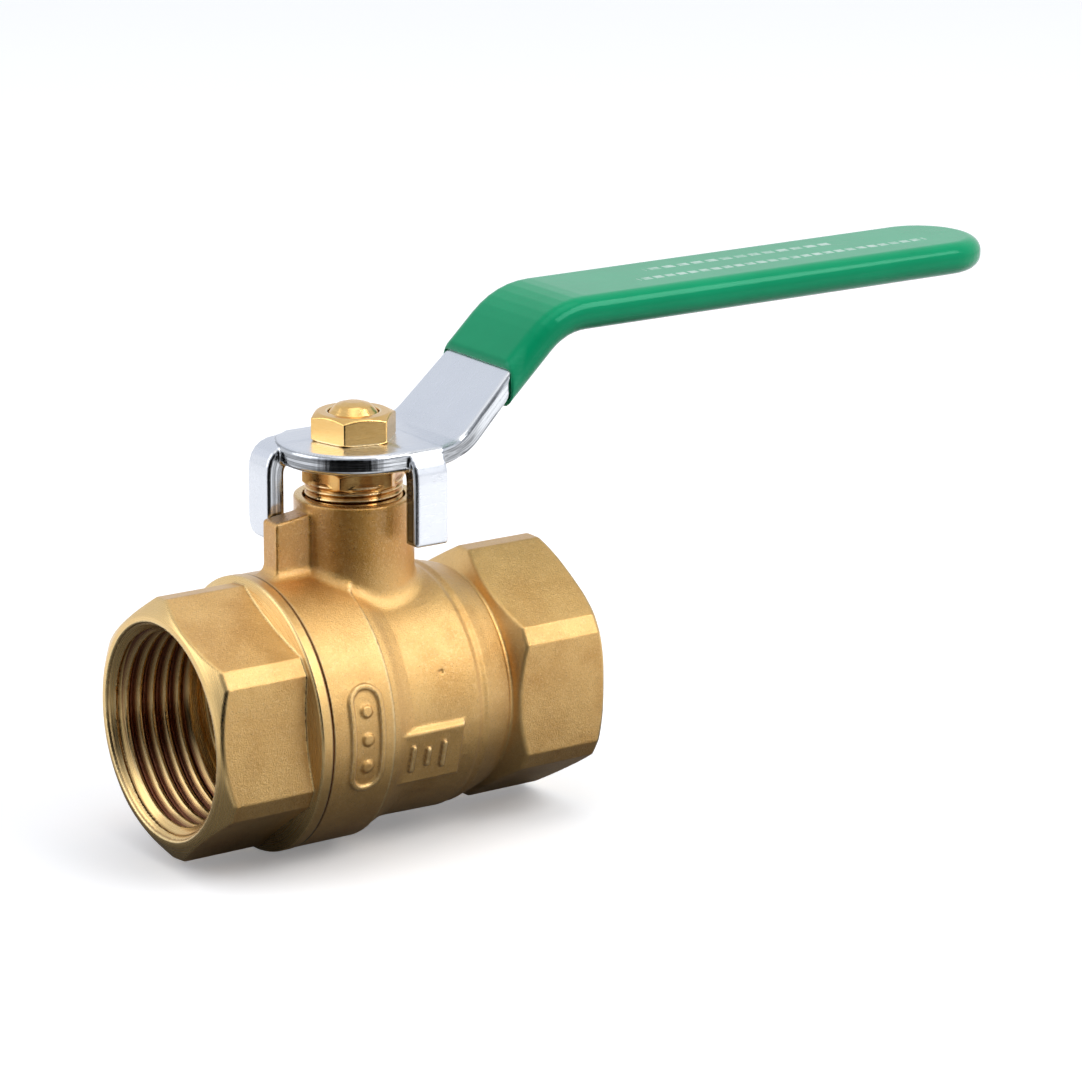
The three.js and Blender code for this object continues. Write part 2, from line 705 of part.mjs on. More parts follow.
place('body', body(), FORGED_BRASS);
place('end_connector', endConnector(), FORGED_BRASS);
place('body_seal_ring', bodySealRing(), SEAL_RUBBER);
place('seat_ring_body_side', seatRing(1), PTFE);
place('seat_ring_connector_side', seatRing(-1), PTFE);
place('ball', ball(), BALL_CHROME);
place('stem', stem(), POLISHED_BRASS);
place('stem_thrust_washer', stemThrustWasher(), PTFE);
place('packing_ring_lower', packingRing(0), PTFE);
place('packing_ring_middle', packingRing(1), PTFE);
place('packing_ring_upper', packingRing(2), PTFE);
place('gland_nut', glandNut(), POLISHED_BRASS);
place('lever', lever(), PLATED_STEEL);
place('lever_grip', leverGrip(), GREEN_VINYL);
place('handle_nut', handleNut(), POLISHED_BRASS);

export default valve;
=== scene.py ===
import json
import math

import bpy
import numpy as np
from mathutils import Matrix, Vector


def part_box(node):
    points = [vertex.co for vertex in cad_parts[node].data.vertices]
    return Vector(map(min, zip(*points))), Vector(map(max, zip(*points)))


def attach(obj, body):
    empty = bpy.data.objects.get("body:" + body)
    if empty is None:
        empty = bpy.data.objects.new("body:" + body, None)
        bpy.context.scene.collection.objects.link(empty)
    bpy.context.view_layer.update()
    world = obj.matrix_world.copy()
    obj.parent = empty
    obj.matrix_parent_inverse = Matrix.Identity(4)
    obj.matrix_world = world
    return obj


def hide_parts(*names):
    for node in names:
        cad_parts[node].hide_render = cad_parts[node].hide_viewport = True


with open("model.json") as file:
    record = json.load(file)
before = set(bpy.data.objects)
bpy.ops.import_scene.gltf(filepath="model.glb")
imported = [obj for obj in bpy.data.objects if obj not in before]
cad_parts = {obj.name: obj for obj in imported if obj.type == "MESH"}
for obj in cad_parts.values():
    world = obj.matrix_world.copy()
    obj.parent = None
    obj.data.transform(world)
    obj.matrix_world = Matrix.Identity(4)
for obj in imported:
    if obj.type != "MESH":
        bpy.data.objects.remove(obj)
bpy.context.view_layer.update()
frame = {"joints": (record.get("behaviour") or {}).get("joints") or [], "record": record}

# A one inch lever ball valve: forged brass body and end connector, bent steel lever, green vinyl grip.
#
# Every shape below is written in millimetres about the centre of the ball, with +X along the pipe and +Z up
# the stem, as a field: a function of x, y and z that is negative inside the piece and roughly the distance
# from its surface elsewhere. make_piece() turns a field into a mesh in the row frame, in metres.

MM = 0.001
TAU = 2 * math.pi
BALL_CENTRE = Vector(frame["joints"][0]["pos_m"])

# ---- driving dimensions ----

# The joint between the end connector and the body, the rims that meet there, and the two outer ends.
JOINT_X = -17.3
RIM_R = 21.6
COLLAR_R = 21.7
COLLAR_X = -19.2
END_X = -35.2
BODY_END_X = 35.0

# The two pipe hexagons.
HEX_HALF_AF = 18.6
HEX_STRIP_R = 20.6
HEX_CLEAR_R = 21.6
END_HEX_TURN = math.radians(-6)
HEX_SHOULDER_X = 18.9
HEX_SHOULDER_SLOPE = 0.65
NECK_R = 17.4
FORGED_EDGE = 0.35

# The pipe threads in both sockets. A flank's factor keeps a field's slope near one on its steep sides.
THREAD_MINOR_R = 15.15
THREAD_MAJOR_R = 16.3
THREAD_PITCH = 2.309
THREAD_DEPTH = 15.55
THREAD_END = 14.6
THREAD_FLANK = 0.72
MOUTH_R = 16.93
MOUTH_STEP = 0.45
MOUTH_DEPTH = 2.2
PORT_R = 10.0

# The bonnet, the stop lug and the bores for the stem and its packing.
BONNET_R = 9.4
BONNET_ROOT_Z = 10.0
BONNET_TOP_Z = 32.7
BONNET_FILLET = 1.8
BOX_R = 7.7
BOX_FLOOR_Z = 21.0
PACKING_TOP_Z = 26.4
COUNTERBORE_R = 7.2
COUNTERBORE_TOP_Z = 19.2
STEM_HOLE_R = 5.2
LUG_TIP_X = -15.3
LUG_HALF_WIDTH = 2.05

# The ball, its seats and the body joint's seal.
BALL_R = 15.5
SEAT_BACK_X = 12.9
SEAT_FRONT_X = 9.9
SEAT_NOSE_X = 9.7
SEAT_OUTER_R = 14.4
SEAT_POCKET_R = 14.6
SEAT_INNER_R = 10.4
CAVITY_R = 16.2
CONNECTOR_TIP_X = -9.8
JOINT_THREAD_R = 17.0
SEAL_OUTER_R = 19.0
SEAL_GROOVE_R = 19.2
SEAL_DEPTH = 1.4
SLOT_FLOOR_Z = 11.2
SLOT_WIDTH = 6.0
RUN_GAP = 0.3

# The stem and the nuts on it.
STEM_R = 4.95
STEM_COLLAR_R = 6.9
STEM_COLLAR_Z = (15.9, 17.9)
STEM_THREAD_R = 3.9
STEM_FLATS = 6.0
STEM_TANG_HALF_LENGTH = 4.8
STEM_TOP_Z = 47.3
GLAND_HEX_Z = 34.5
GLAND_TOP_Z = 37.6
GLAND_AF = 14.4
GLAND_TURN = math.radians(43)
GLAND_THREAD_PITCH = 1.0
GLAND_THREAD_DEPTH = 0.35
GLAND_THREAD_FLANK = 0.8
NUT_AF = 12.0
NUT_TURN = math.radians(46)
NUT_TOP_Z = 45.8

# The lever and its grip.
PLATE = 3.2
PLATE_TOP_Z = 41.5
PLATE_MID_Z = PLATE_TOP_Z - PLATE / 2
PLATE_EDGE = 0.9
HUB_R = 12.1
HUB_SHOULDER = (8.4, 12.6)
SLOPE = math.radians(43.5)
SLOPE_FOOT_X = 13.3
SLOPE_FOOT_HALF_WIDTH = 10.2
SLOPE_HEAD_HALF_WIDTH = 9.3
HANDLE_MID_Z = 58.0
LEVER_BEND_R = 6.5
HANDLE_BEND_R = 12.5
STEEL_END_X = 120.8
TANG_HALF_WIDTH = 8.6
TAB_REACH = 14.2
TAB_NEAR = 2.3
TAB_FAR = 8.4
TAB_BEND_R = 5.0
TAB_BOTTOM_Z = 26.4
GRIP_THICKNESS = 5.4
GRIP_HALF_WIDTH = 9.9
GRIP_START_X = 22.8
GRIP_END_X = 122.5
GRIP_EDGE = 2.5
GRIP_CAVITY_GAP = 0.12
DASH_ROWS = ((2.7, 57.0, 95.0, 2.9), (-2.7, 52.0, 111.0, 2.3))
DASH_HALF_WIDTH = 0.75
DASH_SHARE = 0.7

# ---- outlines ----

TABLE_STEP = 0.1
TABLE_MARGIN = 3.0
ROUND_STEPS = 7


def rounded(corners):
    """The points of a closed outline of (u, v, radius) corners, each rounded by a short curve."""
    points = []
    for i, (u, v, radius) in enumerate(corners):
        here = np.array((u, v), float)
        before = np.array(corners[i - 1][:2], float) - here
        after = np.array(corners[(i + 1) % len(corners)][:2], float) - here
        lengths = np.hypot(*before), np.hypot(*after)
        before /= lengths[0]
        after /= lengths[1]
        half_angle = math.acos(max(-1.0, min(1.0, before @ after))) / 2
        setback = min(radius / math.tan(half_angle), 0.49 * lengths[0], 0.49 * lengths[1])
        if setback < 1e-3:
            points.append(here)
            continue
        for s in np.linspace(0, 1, ROUND_STEPS):
            reach = before * setback * (1 - s) ** 2 + after * setback * s**2
            points.append(here + reach)
    return np.array(points)


def arc(centre_u, centre_v, radius, start_degrees, end_degrees, steps):
    """Corners along an arc, both ends included."""
    angles = np.radians(np.linspace(start_degrees, end_degrees, steps + 1))
    return [(centre_u + radius * math.cos(a), centre_v + radius * math.sin(a), 0) for a in angles]


class Outline:
    """Distance from a closed outline in a plane, negative inside, looked up in a table made once."""

    def __init__(self, corners):
        points = rounded(corners)
        self.low = points.min(0) - TABLE_MARGIN
        high = points.max(0) + TABLE_MARGIN
        axes = [np.arange(low, top + TABLE_STEP, TABLE_STEP) for low, top in zip(self.low, high)]
        u, v = np.meshgrid(*axes, indexing="ij")
        nearest = np.full(u.shape, np.inf)
        inside = np.zeros(u.shape, bool)
        for start, end in zip(points, np.roll(points, -1, 0)):
            edge = end - start
            from_u, from_v = u - start[0], v - start[1]
            along = np.clip((from_u * edge[0] + from_v * edge[1]) / (edge @ edge), 0, 1)
            nearest = np.minimum(nearest, (from_u - along * edge[0]) ** 2 + (from_v - along * edge[1]) ** 2)
            if edge[1]:
                spans = (start[1] > v) != (end[1] > v)
                inside ^= spans & (from_u < edge[0] * from_v / edge[1])
        self.table = (np.where(inside, -1, 1) * np.sqrt(nearest)).astype(np.float32)

    def __call__(self, u, v):
        last_u, last_v = self.table.shape
        step_u = np.clip((u - self.low[0]) / TABLE_STEP, 0, last_u - 1.001)
        step_v = np.clip((v - self.low[1]) / TABLE_STEP, 0, last_v - 1.001)
        i, j = step_u.astype(np.int32), step_v.astype(np.int32)
        part_u, part_v = step_u - i, step_v - j
        flat = self.table.ravel()
        corner = i * last_v + j
        near = flat[corner] * (1 - part_v) + flat[corner + 1] * part_v
        far = flat[corner + last_v] * (1 - part_v) + flat[corner + last_v + 1] * part_v
        return near * (1 - part_u) + far * part_u


def band(line, half):
    """The outline of a strip 2 * half thick along a line of (u, v, bend radius) points."""
    left, right = [], []
    last = len(line) - 1
    for i, (u, v, radius) in enumerate(line):
        into = np.subtract(line[max(i, 1)][:2], line[max(i - 1, 0)][:2])
        out = np.subtract(line[min(i + 1, last)][:2], line[min(i, last - 1)][:2])
        into, out = into / np.hypot(*into), out / np.hypot(*out)
        mitre = (into + out) * 2 / ((into + out) @ (into + out))
        bends_left = into[0] * out[1] - into[1] * out[0] > 0
        inner = max(radius - half, 0)
        outer = radius + half if radius else 0
        left.append((u - mitre[1] * half, v + mitre[0] * half, inner if bends_left else outer))
        right.append((u + mitre[1] * half, v - mitre[0] * half, outer if bends_left else inner))
    return left + right[::-1]


def polygon(count, half_across, turn, radius):
    """The corners of a regular polygon, one of them at the angle `turn`."""
    corner_r = half_across / math.cos(math.pi / count)
    angles = [turn + TAU * i / count for i in range(count)]
    return [(corner_r * math.cos(a), corner_r * math.sin(a), radius) for a in angles]


def turned_section(corners):
    """The outline of a turned shape: its (x, radius, fillet) corners, closed along the axis."""
    return Outline([(corners[0][0], -1, 0)] + corners + [(corners[-1][0], -1, 0)])


def pipe_hexagon(turn):
    """A pipe hexagon's section in y and z: corners up and down, each cut back to a narrow strip."""
    half_strip = (HEX_HALF_AF - HEX_STRIP_R * math.cos(math.pi / 6)) / math.sin(math.pi / 6)
    corners = []
    for i in range(6):
        angle = turn + math.pi / 2 + i * TAU / 6
        across, along = math.cos(angle), math.sin(angle)
        for side in (-half_strip, half_strip):
            y = HEX_STRIP_R * across - side * along
            z = HEX_STRIP_R * along + side * across
            corners.append((y, z, FORGED_EDGE))
    return Outline(corners)


# ---- fields ----


def fuse(a, b, radius):
    """Both shapes, joined by a fillet of that radius."""
    hollow = np.hypot(np.maximum(radius - a, 0), np.maximum(radius - b, 0))
    return np.maximum(radius, np.minimum(a, b)) - hollow


def common(a, b, radius):
    """What both shapes share, its edge rounded with that radius."""
    return -fuse(-a, -b, radius)


def cut(a, b, radius):
    """Shape a without shape b."""
    return common(a, -b, radius)


def between(value, low, high):
    """Negative where the value lies between low and high."""
    return np.maximum(low - value, value - high)


def socket_thread(x, y, z, mouth_x, inward):
    """The helical groove of a female pipe thread, open at mouth_x."""
    crest, root = 0.14, 0.92
    start = 0.5
    radius = np.hypot(y, z)
    turns = x / THREAD_PITCH - np.arctan2(z, y) / TAU
    rise = 1 - np.abs(2 * (turns - np.floor(turns)) - 1)
    depth = (x - mouth_x) * inward
    fading = np.clip((THREAD_END - depth) / THREAD_PITCH, 0, 1)
    profile = np.clip((rise - crest) / (root - crest), 0, 1) * fading
    wall = THREAD_MINOR_R + (THREAD_MAJOR_R - THREAD_MINOR_R) * profile
    return np.maximum((radius - wall) * THREAD_FLANK, between(depth, start, THREAD_DEPTH))


def socket_bore(mouth_x, inward, port_x):
    """The corners of a socket's bore in x and radius, from outside its mouth to the port at port_x."""
    depths = [
        (-3, MOUTH_R, 0),
        (MOUTH_STEP, MOUTH_R, 0.05),
        (MOUTH_STEP, MOUTH_R - 0.25, 0.05),
        (MOUTH_DEPTH, THREAD_MINOR_R, 0.1),
        (THREAD_DEPTH, THREAD_MINOR_R, 0.1),
        (THREAD_DEPTH + 0.1, THREAD_MINOR_R + 0.25, 0.1),
        (THREAD_DEPTH + 1.3, THREAD_MINOR_R + 0.25, 0.4),
        (THREAD_DEPTH + 3.0, PORT_R + 0.5, 0.4),
        (THREAD_DEPTH + 3.4, PORT_R, 0.3),
    ]
    corners = [(mouth_x + inward * depth, radius, fillet) for depth, radius, fillet in depths]
    return corners + [(port_x, PORT_R, 0.2)]


# The body, one forging: barrel, bonnet, stop lug and the right-hand hexagon.
BARREL = turned_section([
    (JOINT_X, RIM_R, 0.25),
    (-6.1, RIM_R, 0.12),
    (-6.25, 21.2, 0.1),
    (-4.9, 20.9, 1.5),
    (-3.4, 20.3, 2),
    (-1.8, 19.8, 2),
    (0.2, 19.65, 2),
    (10.3, 19.85, 0.8),
    (11.3, 19.4, 1.2),
    (12.2, 19.62, 0.5),
    (14.0, 19.1, 3),
    (15.4, 18.75, 3),
    (17.2, 18.2, 1.2),
    (17.5, NECK_R, 0.3),
    (19.6, NECK_R, 0),
])


def shoulder_x(radius):
    """Where the sloping shoulder behind the body's hexagon has that radius."""
    return HEX_SHOULDER_X + (radius - HEX_HALF_AF) * HEX_SHOULDER_SLOPE


BODY_HEX = pipe_hexagon(0)
BODY_HEX_TURNING = turned_section([
    (shoulder_x(NECK_R), NECK_R, 0.1),
    (shoulder_x(HEX_CLEAR_R), HEX_CLEAR_R, 0),
    (33.4, HEX_CLEAR_R, 0.3),
    (33.95, HEX_STRIP_R, 0.6),
    (34.4, 19.8, 0.6),
    (34.8, 18.9, 0.5),
    (BODY_END_X, 18.0, 0.25),
])
BODY_BORE = turned_section([
    (JOINT_X - 3, SEAL_GROOVE_R, 0),
    (JOINT_X + SEAL_DEPTH, SEAL_GROOVE_R, 0.1),
    (JOINT_X + SEAL_DEPTH, JOINT_THREAD_R + RUN_GAP, 0.1),
    (CONNECTOR_TIP_X + RUN_GAP, JOINT_THREAD_R + RUN_GAP, 0.2),
    (CONNECTOR_TIP_X + RUN_GAP, CAVITY_R, 0.2),
    (SEAT_FRONT_X, CAVITY_R, 0.4),
    (SEAT_FRONT_X, SEAT_POCKET_R, 0.1),
    (SEAT_BACK_X, SEAT_POCKET_R, 0.15),
    (SEAT_BACK_X, PORT_R, 0.3),
    *socket_bore(BODY_END_X, -1, SEAT_BACK_X + 1)[-2::-1],
])
STEM_BORE = Outline([
    (-1, 8, 0),
    (COUNTERBORE_R, 8, 0),
    (COUNTERBORE_R, COUNTERBORE_TOP_Z, 0.1),
    (STEM_HOLE_R, COUNTERBORE_TOP_Z, 0.2),
    (STEM_HOLE_R, BOX_FLOOR_Z, 0.2),
    (BOX_R, BOX_FLOOR_Z, 0.2),
    (BOX_R, PACKING_TOP_Z, 0),
    (BOX_R + RUN_GAP, PACKING_TOP_Z + 0.5, 0),
    (BOX_R + RUN_GAP, BONNET_TOP_Z + 3, 0),
    (-1, BONNET_TOP_Z + 3, 0),
])
LUG_SIDE = Outline(
    [(-2, 15, 0), (LUG_TIP_X, 15, 0), (LUG_TIP_X, 30.2, 0.7), (-BONNET_R, 31.0, 0.3), (-2, 31.3, 0)]
)

# The raised pad low on the barrel's front, with plain ticks, and the plain oval frame on the wide rim.
PAD_MIDDLE_X, PAD_HALF_LENGTH = 0.9, 6.2
PAD_ANGLE = math.radians(-14.5)
PAD_HALF_HEIGHT = 4.4
PAD_R = 20.15
PAD_ROOT_R = 17.0
PAD_DRAFT = 0.5
PAD_FLANK = 0.85
TICKS = ((-1.9, 1.9), (0.9, 1.2), (3.7, 1.9))
TICK_HALF_WIDTH = 0.42
TICK_HEIGHT = 0.45
OVAL_MIDDLE_X, OVAL_ANGLE = -11.2, math.radians(1)
OVAL_HALF_WIDTH, OVAL_HALF_LENGTH = 2.6, 8.2
OVAL_LINE = 0.42
OVAL_HEIGHT = 0.45
DOTS = (-4.4, 0.0, 4.4)
DOT_R = 0.95

# A casting pit on the barrel's front.
PIT = (4.3, -18.4, 7.7)
PIT_R = 0.5


def front_marks(x, y, z):
    """The raised pad with its ticks, and the oval frame."""
    out_y, out_z = -math.cos(PAD_ANGLE), math.sin(PAD_ANGLE)
    height = y * out_y + z * out_z
    up = z * -out_y + y * out_z
    lean = (height - PAD_R) * PAD_DRAFT
    sides = np.maximum(np.abs(x - PAD_MIDDLE_X) - PAD_HALF_LENGTH, np.abs(up) - PAD_HALF_HEIGHT) + lean
    pad = common(between(height, PAD_ROOT_R, PAD_R), sides * PAD_FLANK, 0.2)
    for tick_x, half_length in TICKS:
        long_way = np.maximum(np.abs(up) - half_length, 0)
        tick = np.hypot(x - tick_x, long_way) - TICK_HALF_WIDTH
        pad = fuse(pad, common(tick, between(height, PAD_ROOT_R, PAD_R + TICK_HEIGHT), 0.2), 0.15)
    radius = np.hypot(y, z)
    around = (np.arctan2(z, -y) - OVAL_ANGLE) * RIM_R
    long_way = np.maximum(np.abs(around) - (OVAL_HALF_LENGTH - OVAL_HALF_WIDTH), 0)
    oval = np.abs(np.hypot(x - OVAL_MIDDLE_X, long_way) - OVAL_HALF_WIDTH) - OVAL_LINE
    relief = np.abs(radius - RIM_R) - OVAL_HEIGHT
    frame_line = common(oval, relief, 0.2)
    for middle in DOTS:
        dot = np.hypot(x - OVAL_MIDDLE_X, around - middle) - DOT_R
        frame_line = np.minimum(frame_line, common(dot, relief, 0.3))
    return pad, frame_line


def body_void(x, y, z):
    """Everything bored out of the body."""
    radius = np.hypot(y, z)
    bore = np.minimum(BODY_BORE(x, radius), socket_thread(x, y, z, BODY_END_X, -1))
    return np.minimum(bore, STEM_BORE(np.hypot(x, y), z))


def body_field(x, y, z):
    radius = np.hypot(y, z)
    solid = BARREL(x, radius)
    hexagon = common(BODY_HEX(y, z), BODY_HEX_TURNING(x, radius), FORGED_EDGE)
    solid = fuse(solid, hexagon, 0.25)
    bonnet = common(np.hypot(x, y) - BONNET_R, between(z, BONNET_ROOT_Z, BONNET_TOP_Z), 0.45)
    lug = common(LUG_SIDE(x, z), np.abs(y) - LUG_HALF_WIDTH, 0.35)
    tower = fuse(bonnet, lug, 0.6)
    solid = fuse(solid, tower, BONNET_FILLET)
    pad, frame_line = front_marks(x, y, z)
    solid = fuse(solid, pad, 0.25)
    solid = fuse(solid, frame_line, 0.3)
    pit = np.sqrt((x - PIT[0]) ** 2 + (y - PIT[1]) ** 2 + (z - PIT[2]) ** 2) - PIT_R
    solid = cut(solid, pit, 0.1)
    return cut(solid, body_void(x, y, z), 0.12)


# The end connector: hexagon, collar and the screwed spigot inside the body.
CONNECTOR_HEX = pipe_hexagon(END_HEX_TURN)
CONNECTOR_HEX_TURNING = turned_section([
    (END_X, 17.9, 0.25),
    (END_X + 0.45, 18.75, 0.4),
    (END_X + 1.7, HEX_STRIP_R, 0.5),
    (END_X + 2.3, HEX_CLEAR_R, 0.3),
    (-19, HEX_CLEAR_R, 0),
])
CONNECTOR_FLANGE = turned_section([
    (-21.5, 17, 0),
    (-20.3, 18.45, 0.2),
    (COLLAR_X, COLLAR_R, 0.2),
    (JOINT_X, COLLAR_R, 0.25),
    (JOINT_X, JOINT_THREAD_R, 0.1),
    (CONNECTOR_TIP_X, JOINT_THREAD_R, 0.8),
])
CONNECTOR_BORE = turned_section([
    *socket_bore(END_X, 1, -SEAT_BACK_X - 1)[:-1],
    (-SEAT_BACK_X, PORT_R, 0.3),
    (-SEAT_BACK_X, SEAT_POCKET_R, 0.15),
    (CONNECTOR_TIP_X + 3, SEAT_POCKET_R, 0),
])


def connector_void(x, y, z):
    radius = np.hypot(y, z)
    return np.minimum(CONNECTOR_BORE(x, radius), socket_thread(x, y, z, END_X, 1))


def connector_field(x, y, z):
    radius = np.hypot(y, z)
    hexagon = common(CONNECTOR_HEX(y, z), CONNECTOR_HEX_TURNING(x, radius), FORGED_EDGE)
    hexagon = np.maximum(hexagon, x - COLLAR_X)
    solid = fuse(hexagon, CONNECTOR_FLANGE(x, radius), 0.15)
    return cut(solid, connector_void(x, y, z), 0.12)


def ball_field(x, y, z):
    sphere = np.sqrt(x * x + y * y + z * z) - BALL_R
    port = np.hypot(y, z) - PORT_R
    slot = np.maximum(np.abs(x) - SLOT_WIDTH / 2, SLOT_FLOOR_Z - z)
    return cut(cut(sphere, port, 0.5), slot, 0.3)


STEM = Outline([
    (-1, STEM_COLLAR_Z[0], 0),
    (STEM_COLLAR_R, STEM_COLLAR_Z[0], 0.3),
    (STEM_COLLAR_R, STEM_COLLAR_Z[1], 0.3),
    (STEM_R, STEM_COLLAR_Z[1], 0.2),
    (STEM_R, PLATE_TOP_Z - PLATE, 0.2),
    (STEM_THREAD_R, PLATE_TOP_Z - PLATE + 0.1, 0.1),
    (STEM_THREAD_R, NUT_TOP_Z - 0.3, 0.2),
    (3.55, NUT_TOP_Z + 0.1, 0.5),
    (2.7, STEM_TOP_Z - 0.45, 1.2),
    (1.3, STEM_TOP_Z - 0.06, 2),
    (-1, STEM_TOP_Z, 0),
])


def stem_field(x, y, z):
    """The stem: turned, with flats for the lever and a tang that sits in the ball's slot."""
    turned = STEM(np.hypot(x, y), z)
    flats = np.maximum(STEM_FLATS / 2 - np.abs(x), between(z, PLATE_TOP_Z - PLATE, PLATE_TOP_Z + RUN_GAP))
    tang = np.maximum(np.abs(x) - (SLOT_WIDTH / 2 - RUN_GAP), np.abs(y) - STEM_TANG_HALF_LENGTH)
    tang = np.maximum(tang, between(z, SLOT_FLOOR_Z + RUN_GAP, STEM_COLLAR_Z[0] + 1))
    return fuse(cut(turned, flats, 0.1), tang, 0.2)


def hex_nut(x, y, z, section, turning, hole_r):
    """A hexagon with its corners turned off and a round hole."""
    hexagon = common(section(x, y), turning(np.hypot(x, y), z), 0.18)
    return cut(hexagon, np.hypot(x, y) - hole_r, 0.15)


GLAND_HEX = Outline(polygon(6, GLAND_AF / 2, GLAND_TURN, 0.25))
GLAND_TURNING = Outline([
    (-1, GLAND_HEX_Z, 0),
    (7.4, GLAND_HEX_Z, 0.2),
    (8.6, GLAND_HEX_Z + 0.7, 0),
    (8.6, GLAND_TOP_Z - 0.7, 0),
    (7.2, GLAND_TOP_Z, 0.3),
    (-1, GLAND_TOP_Z, 0),
])


def gland_field(x, y, z):
    radius = np.hypot(x, y)
    turns = z / GLAND_THREAD_PITCH - np.arctan2(y, x) / TAU
    rise = np.abs(2 * (turns - np.floor(turns)) - 1)
    thread = (radius - BOX_R + GLAND_THREAD_DEPTH * rise) * GLAND_THREAD_FLANK
    screw = np.maximum(thread, between(z, PACKING_TOP_Z, GLAND_HEX_Z + 1))
    screw = cut(screw, radius - STEM_HOLE_R, 0.15)
    return fuse(hex_nut(x, y, z, GLAND_HEX, GLAND_TURNING, STEM_HOLE_R), screw, 0.1)


NUT_HEX = Outline(polygon(6, NUT_AF / 2, NUT_TURN, 0.25))
NUT_TURNING = Outline([
    (-1, PLATE_TOP_Z, 0),
    (6.3, PLATE_TOP_Z, 0.2),
    (7.2, PLATE_TOP_Z + 0.4, 0),
    (7.2, NUT_TOP_Z - 0.85, 0),
    (5.55, NUT_TOP_Z, 0.4),
    (-1, NUT_TOP_Z, 0),
])


def handle_nut_field(x, y, z):
    return hex_nut(x, y, z, NUT_HEX, NUT_TURNING, STEM_THREAD_R + 0.12)


# The lever's bent strip from the side, as (x, z, bend radius) points along its middle.
FOOT_X = SLOPE_FOOT_X + PLATE / 2 * math.tan(SLOPE / 2)
HEAD_X = FOOT_X + (HANDLE_MID_Z - PLATE_MID_Z) / math.tan(SLOPE)
LEVER_LINE = [
    (-20, PLATE_MID_Z, 0),
    (FOOT_X, PLATE_MID_Z, LEVER_BEND_R),
    (HEAD_X, HANDLE_MID_Z, HANDLE_BEND_R),
    (GRIP_END_X + 6, HANDLE_MID_Z, 0),
]
LEVER_SIDE = Outline(band(LEVER_LINE, PLATE / 2))
HUB_BACK_DEGREES = math.degrees(math.acos(SLOPE_FOOT_HALF_WIDTH / HUB_R)) + 90
LEVER_PLAN = Outline([
    (HUB_SHOULDER[0], -HUB_SHOULDER[1], 0.8),
    (SLOPE_FOOT_X, -SLOPE_FOOT_HALF_WIDTH, 3),
    (GRIP_START_X, -SLOPE_HEAD_HALF_WIDTH, 2),
    (GRIP_START_X + 4, -TANG_HALF_WIDTH, 2),
    *arc(STEEL_END_X - TANG_HALF_WIDTH, 0, TANG_HALF_WIDTH, -90, 90, 12),
    (GRIP_START_X + 4, TANG_HALF_WIDTH, 2),
    (GRIP_START_X, SLOPE_HEAD_HALF_WIDTH, 2),
    (SLOPE_FOOT_X, SLOPE_FOOT_HALF_WIDTH, 5),
    *arc(0, 0, HUB_R, HUB_BACK_DEGREES, 270, 30),
])

# The stop tabs, bent down from the plate: the bend from the side, and each tab's face.
TAB_MIDDLE = TAB_REACH - PLATE / 2
TAB_LINE = [
    (-2, PLATE_MID_Z, 0),
    (TAB_MIDDLE, PLATE_MID_Z, TAB_BEND_R - PLATE / 2),
    (TAB_MIDDLE, TAB_BOTTOM_Z, 0),
]
TAB_SIDE = Outline(band(TAB_LINE, PLATE / 2))


def tab_face(far_radius):
    """A stop tab's outline, its far lower corner rounded with that radius."""
    top = PLATE_TOP_Z + 4
    near_side = [(TAB_NEAR, top, 0), (TAB_NEAR, TAB_BOTTOM_Z, 0.6)]
    return Outline(near_side + [(TAB_FAR, TAB_BOTTOM_Z, far_radius), (TAB_FAR, top, 0)])


BACK_TAB_FACE = tab_face(3.6)
FRONT_TAB_FACE = tab_face(0.7)


def lever_field(x, y, z):
    strip = common(LEVER_SIDE(x, z), LEVER_PLAN(x, y), PLATE_EDGE)
    back_tab = common(TAB_SIDE(-x, z), BACK_TAB_FACE(y, z), 0.7)
    front_tab = common(TAB_SIDE(-y, z), FRONT_TAB_FACE(x, z), 0.7)
    whole = fuse(fuse(strip, back_tab, 0.5), front_tab, 0.5)
    round_hole = np.hypot(x, y) - STEM_THREAD_R - RUN_GAP
    hole = np.maximum(round_hole, np.abs(x) - STEM_FLATS / 2 - RUN_GAP)
    return cut(whole, hole, 0.15)


GRIP_SIDE = Outline(band(LEVER_LINE, GRIP_THICKNESS / 2))
GRIP_PLAN = Outline([
    (GRIP_START_X - 6, -GRIP_HALF_WIDTH, 0),
    *arc(GRIP_END_X - GRIP_HALF_WIDTH, 0, GRIP_HALF_WIDTH, -90, 90, 24),
    (GRIP_START_X - 6, GRIP_HALF_WIDTH, 0),
])


def grip_field(x, y, z):
    sleeve = common(GRIP_SIDE(x, z), GRIP_PLAN(x, y), GRIP_EDGE)
    sleeve = common(sleeve, GRIP_START_X - x, 0.45)
    steel = common(LEVER_SIDE(x, z), LEVER_PLAN(x, y), PLATE_EDGE)
    return cut(sleeve, steel - GRIP_CAVITY_GAP, 0.2)


# ---- from fields to meshes ----

BLOCK = 8
BLOCK_REACH = 9.2
BLOCKS_AT_ONCE = 1500
SLOPE_STEP = 0.05
SETTLING_STEPS = 3
EDGE_DEPTH = 0.45


